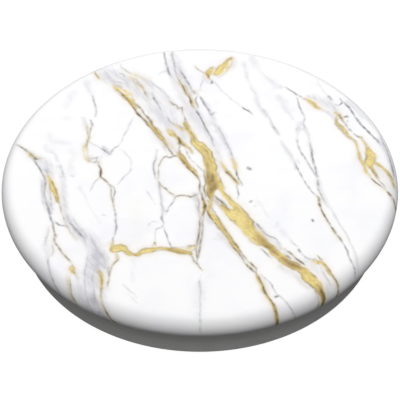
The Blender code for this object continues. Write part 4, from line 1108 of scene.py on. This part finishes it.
def paint_veins(mesh):
    points = np.empty(len(mesh.vertices) * 3)
    mesh.vertices.foreach_get("co", points)
    places = places_on_print(points.reshape(-1, 3) / MM)
    slow = [wandering(places, SLOW_SIZE, seed) for seed in (3.1, 7.7)]
    quick = [wandering(places, QUICK_SIZE, seed) for seed in (1.9, 5.3)]
    warped = places + SLOW_PUSH * np.array(slow).T + QUICK_PUSH * np.array(quick).T
    swelling = 1 + 0.35 * wandering(places, 0.8, 9.2)
    breaks = np.clip(0.95 + 0.8 * wandering(places, 0.45, 4.4), 0.15, 1.3)
    patches = 0.4 * wandering(places, 0.7, 2.8)
    tarnished = np.clip(0.45 + 0.9 * wandering(places, 1.3, 6.6), 0, 1)
    inks = {ink: np.zeros(len(places)) for ink in INKS}
    gold_edge, edge_strength = np.full(len(places), FAR), np.zeros(len(places))
    for ink, strength, route in read_routes(ROUTES):
        widest = route[:, 2].max()
        reach = 2.6 * widest + 0.4
        low, high = route[:, :2].min(0) - reach, route[:, :2].max(0) + reach
        near = ((warped > low) & (warped < high)).all(1).nonzero()[0]
        most, glow, beyond_edge = along_route(ink, route, warped[near], swelling[near])
        if ink in ("smoke", "bronze"):       # washes build up where they overlap
            inks[ink][near] += most * strength * (1 - inks[ink][near])
            continue
        if ink == "gold":                    # a vein hardly wider than its tarnished edge gets less of it
            amount = most * np.clip(strength + patches[near], 0, 1)
            edge_share = strength * min(widest / 0.2, 1)
            edge_strength[near] = np.where(beyond_edge < gold_edge[near], edge_share, edge_strength[near])
            gold_edge[near] = np.minimum(gold_edge[near], beyond_edge)
        else:
            amount = most * strength * breaks[near]
        stain = glow * strength * (1 if ink == "gold" else 0.55)
        inks[ink][near] = np.maximum(inks[ink][near], amount)
        inks["ochre"][near] = np.maximum(inks["ochre"][near], stain)
    tarnish = np.exp(-((gold_edge / TARNISH_WIDTH) ** 2)) * edge_strength * tarnished
    inks["umber"] = np.maximum(inks["umber"], tarnish * 0.6)
    for ink, amounts in inks.items():
        mesh.attributes.new(ink, "FLOAT", "POINT").data.foreach_set("value", amounts.astype(np.float32))
        print(f"{ink}: {(amounts > 0.25).mean():.1%} of the vertices")


# %% [markdown]
# ### The lacquer
#
# The lacquer lays the inks over each other: stone, grey wash, warm stain, gold, brown line, hairline. The
# mesh holds where an ink is, and noise in the material holds what is finer than the mesh: streaks in the
# wash, flakes along the gold's edge, brush marks and pale specks in the gold. Such grips have a satin
# lacquer, so there is no clear coat.

# %% Marble lacquer
def marble_lacquer():
    finish = Finish("marble_print")
    smoke, ochre, bronze, gold, umber, hair = (finish.attribute(ink) for ink in INKS)
    clouds = finish.noise(4.5, detail=4.0, distortion=0.4)
    mottle = finish.noise(0.9, detail=3.0, roughness=0.55, distortion=0.5)
    speck = finish.noise(0.25, detail=2.0)
    wisps = finish.noise(0.42, detail=4.0, roughness=0.6, where=finish.streaked(-63, 4.5), distortion=0.3)
    brush = finish.noise(0.2, detail=3.0, where=finish.streaked(-60, 5.0))
    stone = finish.mix(clouds.ramp(0.4, 0.75), colour(252, 252, 253), colour(246, 246, 250))
    smoked = finish.mix(smoke * (wisps.ramp(0.3, 0.7) * 1.1 + 0.5), stone, colour(202, 200, 207))
    stained = finish.mix(ochre * (mottle * 0.95 + 0.25), smoked, colour(236, 222, 195))
    leaf = finish.mix(mottle.ramp(0.3, 0.62), colour(213, 188, 103), colour(235, 213, 133))
    leaf = finish.mix(brush.ramp(0.48, 0.75) * 0.4, leaf, colour(246, 231, 164))
    leaf = finish.mix(speck.ramp(0.5, 0.75) * 0.5, leaf, colour(250, 240, 190))
    leaf = finish.mix(bronze * (speck * 0.6 + 0.7), leaf, colour(178, 146, 82))
    flaked = (gold + (speck - 0.5) * 0.7).ramp(0.22, 0.72)
    gilded = finish.mix(flaked * (brush * 0.4 + 0.75), stained, leaf)
    browned = finish.mix(umber * (speck * 0.8 + 0.8), gilded, colour(108, 88, 48))
    veined = finish.mix(hair * (speck * 0.9 + 1.0), browned, colour(92, 92, 92))
    finish.set(base_color=veined, roughness=0.5 + mottle * 0.06 + gold * 0.05)
    finish.bump(clouds * 0.5 + gold * 0.1, 0.006)
    return finish


# %% [markdown]
# ### The printed shell
#
# The shell is one closed skin, a quarter of a millimetre thick. Its flat top is a net of rings, and ring
# `n` has `6 n` points, so that all the triangles are nearly equal and the paint is equally sharp
# everywhere. The rim rings carry it round the edge and a little way underneath.

# %% Printed disc
RINGS = 150
RIM_POINTS = 6 * RINGS


def ring_of_points(count, radius, height):
    turns = np.arange(count) / count * 2 * np.pi
    return np.column_stack([np.cos(turns), np.sin(turns), np.ones(count)]) * [radius, radius, height]


def printed_shell(name, finish):
    """Rings of the flat top, then rings round the rim and back under it to the middle."""
    rings = [ring_of_points(1, 0, DISC_TOP)]
    rings += [ring_of_points(6 * n, FLAT_RADIUS * n / RINGS, DISC_TOP) for n in range(1, RINGS + 1)]
    rim_rings = rim(0, 90, -60, 26)[1:] + rim(FILM, -60, 90, 5)
    rings += [ring_of_points(RIM_POINTS, radius, height) for radius, height in rim_rings]
    rings.append(ring_of_points(1, 0, DISC_TOP - FILM))
    starts = np.cumsum([0] + [len(ring) for ring in rings])
    faces = []
    for n in range(len(rings) - 1):
        inner, outer, low, high = len(rings[n]), len(rings[n + 1]), starts[n], starts[n + 1]
        if inner == outer:
            for i in range(inner):
                j = (i + 1) % inner
                faces.append((low + i, high + i, high + j, low + j))
        elif outer == 1:
            faces += [(low + i, high, low + (i + 1) % inner) for i in range(inner)]
        else:
            for side in range(6):
                for i in range(n + 1):
                    a, b = side * (n + 1) + i, (side * (n + 1) + i + 1) % outer
                    c = low + (side * n + i) % inner
                    faces.append((c, high + a, high + b))
                    if i < n:
                        faces.append((c, high + b, low + (side * n + i + 1) % inner))
    mesh = bpy.data.meshes.new(name)
    mesh.from_pydata(np.vstack(rings) * MM, [], faces)
    mesh.materials.append(finish.material)
    face_outwards(mesh)
    return mesh


marble = marble_lacquer()
disc_mesh = printed_shell("marble_disc", marble)
paint_veins(disc_mesh)
marble_disc = add_mesh_object("marble_disc", disc_mesh)
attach(marble_disc, "top")
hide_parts("print_film")
print("marble_disc:", sum(len(face.vertices) - 2 for face in disc_mesh.polygons), "triangles")

# %% [markdown]
# ## Camera, light and floor
#
# The grip lies on a plain white floor, which glows evenly so that it is white everywhere. A soft key light
# stands high in front of the grip, so the top is bright, while the rim turns darker towards its underside
# and the base stays mostly in its shade. A wide panel behind the grip lights the far rim and lets the
# brightness of the top fall off a little towards the front.

# %% Camera
CAMERA_HEIGHT = math.radians(44.3)
CAMERA_DISTANCE = 400 * MM
camera_data = bpy.data.cameras.new("camera")
camera_data.sensor_width = 36
camera_data.lens = 356.6
camera_data.shift_x, camera_data.shift_y = 0.0005, -0.03
camera_data.clip_start, camera_data.clip_end = 0.01, 20
camera = bpy.data.objects.new("camera", camera_data)
bpy.context.scene.collection.objects.link(camera)
aim = Vector((0, 0, RIM_MIDDLE * MM))
towards = Vector((0, -math.cos(CAMERA_HEIGHT), math.sin(CAMERA_HEIGHT)))
camera.location = aim + towards * CAMERA_DISTANCE
camera.rotation_euler = towards.to_track_quat("Z", "Y").to_euler()
bpy.context.scene.camera = camera
print("camera at", [round(value, 3) for value in camera.location], "m")


# %% Studio light
def plain_studio(above, below):
    """A world of two even tones that looks plain white where it is seen directly."""
    world = bpy.data.worlds.new("plain_studio")
    world.use_nodes = True
    tree = world.node_tree
    tree.nodes.clear()
    new, link = tree.nodes.new, tree.links.new
    direction, split = new("ShaderNodeTexCoord"), new("ShaderNodeSeparateXYZ")
    link(direction.outputs["Generated"], split.inputs[0])
    height = new("ShaderNodeMapRange")
    link(split.outputs["Z"], height.inputs[0])
    for socket, value in ((1, -0.1), (2, 0.1), (3, below), (4, above)):
        height.inputs[socket].default_value = value
    seen, white = new("ShaderNodeLightPath"), new("ShaderNodeMix")
    link(seen.outputs["Is Camera Ray"], white.inputs[0])
    link(height.outputs[0], white.inputs[2])
    white.inputs[3].default_value = 1.0
    background, output = new("ShaderNodeBackground"), new("ShaderNodeOutputWorld")
    link(white.outputs[0], background.inputs["Strength"])
    link(background.outputs[0], output.inputs[0])
    background.inputs["Color"].default_value = (1, 1, 1, 1)
    bpy.context.scene.world = world


def soft_light(name, kind, place_mm, **settings):
    """A lamp that points at the middle of the disc."""
    lamp = bpy.data.lights.new(name, kind)
    for setting, value in settings.items():
        setattr(lamp, setting, value)
    holder = bpy.data.objects.new(name, lamp)
    bpy.context.scene.collection.objects.link(holder)
    holder.location = Vector(place_mm) * MM
    holder.rotation_euler = (holder.location - aim).to_track_quat("Z", "Y").to_euler()


plain_studio(above=0.37, below=0.05)
soft_light("front_key", "SUN", (0, -375, 930), energy=1.72, angle=math.radians(30))
soft_light("rear_panel", "AREA", (0, 120, 100), energy=0.09, shape="RECTANGLE", size=0.3, size_y=0.1)

# %% Floor
floor_finish = Finish("floor_white")
floor_finish.set(base_color=(0.08, 0.08, 0.08, 1), roughness=0.9, specular_ior_level=0.0)
floor_finish.set(emission_color=(1, 1, 1, 1), emission_strength=0.97)
floor_mesh = bpy.data.meshes.new("floor")
FLOOR_REACH, FLOOR_HEIGHT = 0.6, -0.02 * MM     # just clear of the underside, so the two never share a plane
floor_turns = ((-1, -1), (1, -1), (1, 1), (-1, 1))
floor_corners = [(x * FLOOR_REACH, y * FLOOR_REACH, FLOOR_HEIGHT) for x, y in floor_turns]
floor_mesh.from_pydata(floor_corners, [], [(0, 1, 2, 3)])
floor_mesh.materials.append(floor_finish.material)
floor = add_mesh_object("floor", floor_mesh)
floor.visible_diffuse = floor.visible_glossy = False        # it is a backdrop and lights nothing
bpy.context.scene.view_settings.view_transform = "Standard"

# %% [markdown]
#
# The pieces stand for solids of the imported model, so the grip's box keeps its size.

# %% Bring the scene up to date
bpy.context.view_layer.update()
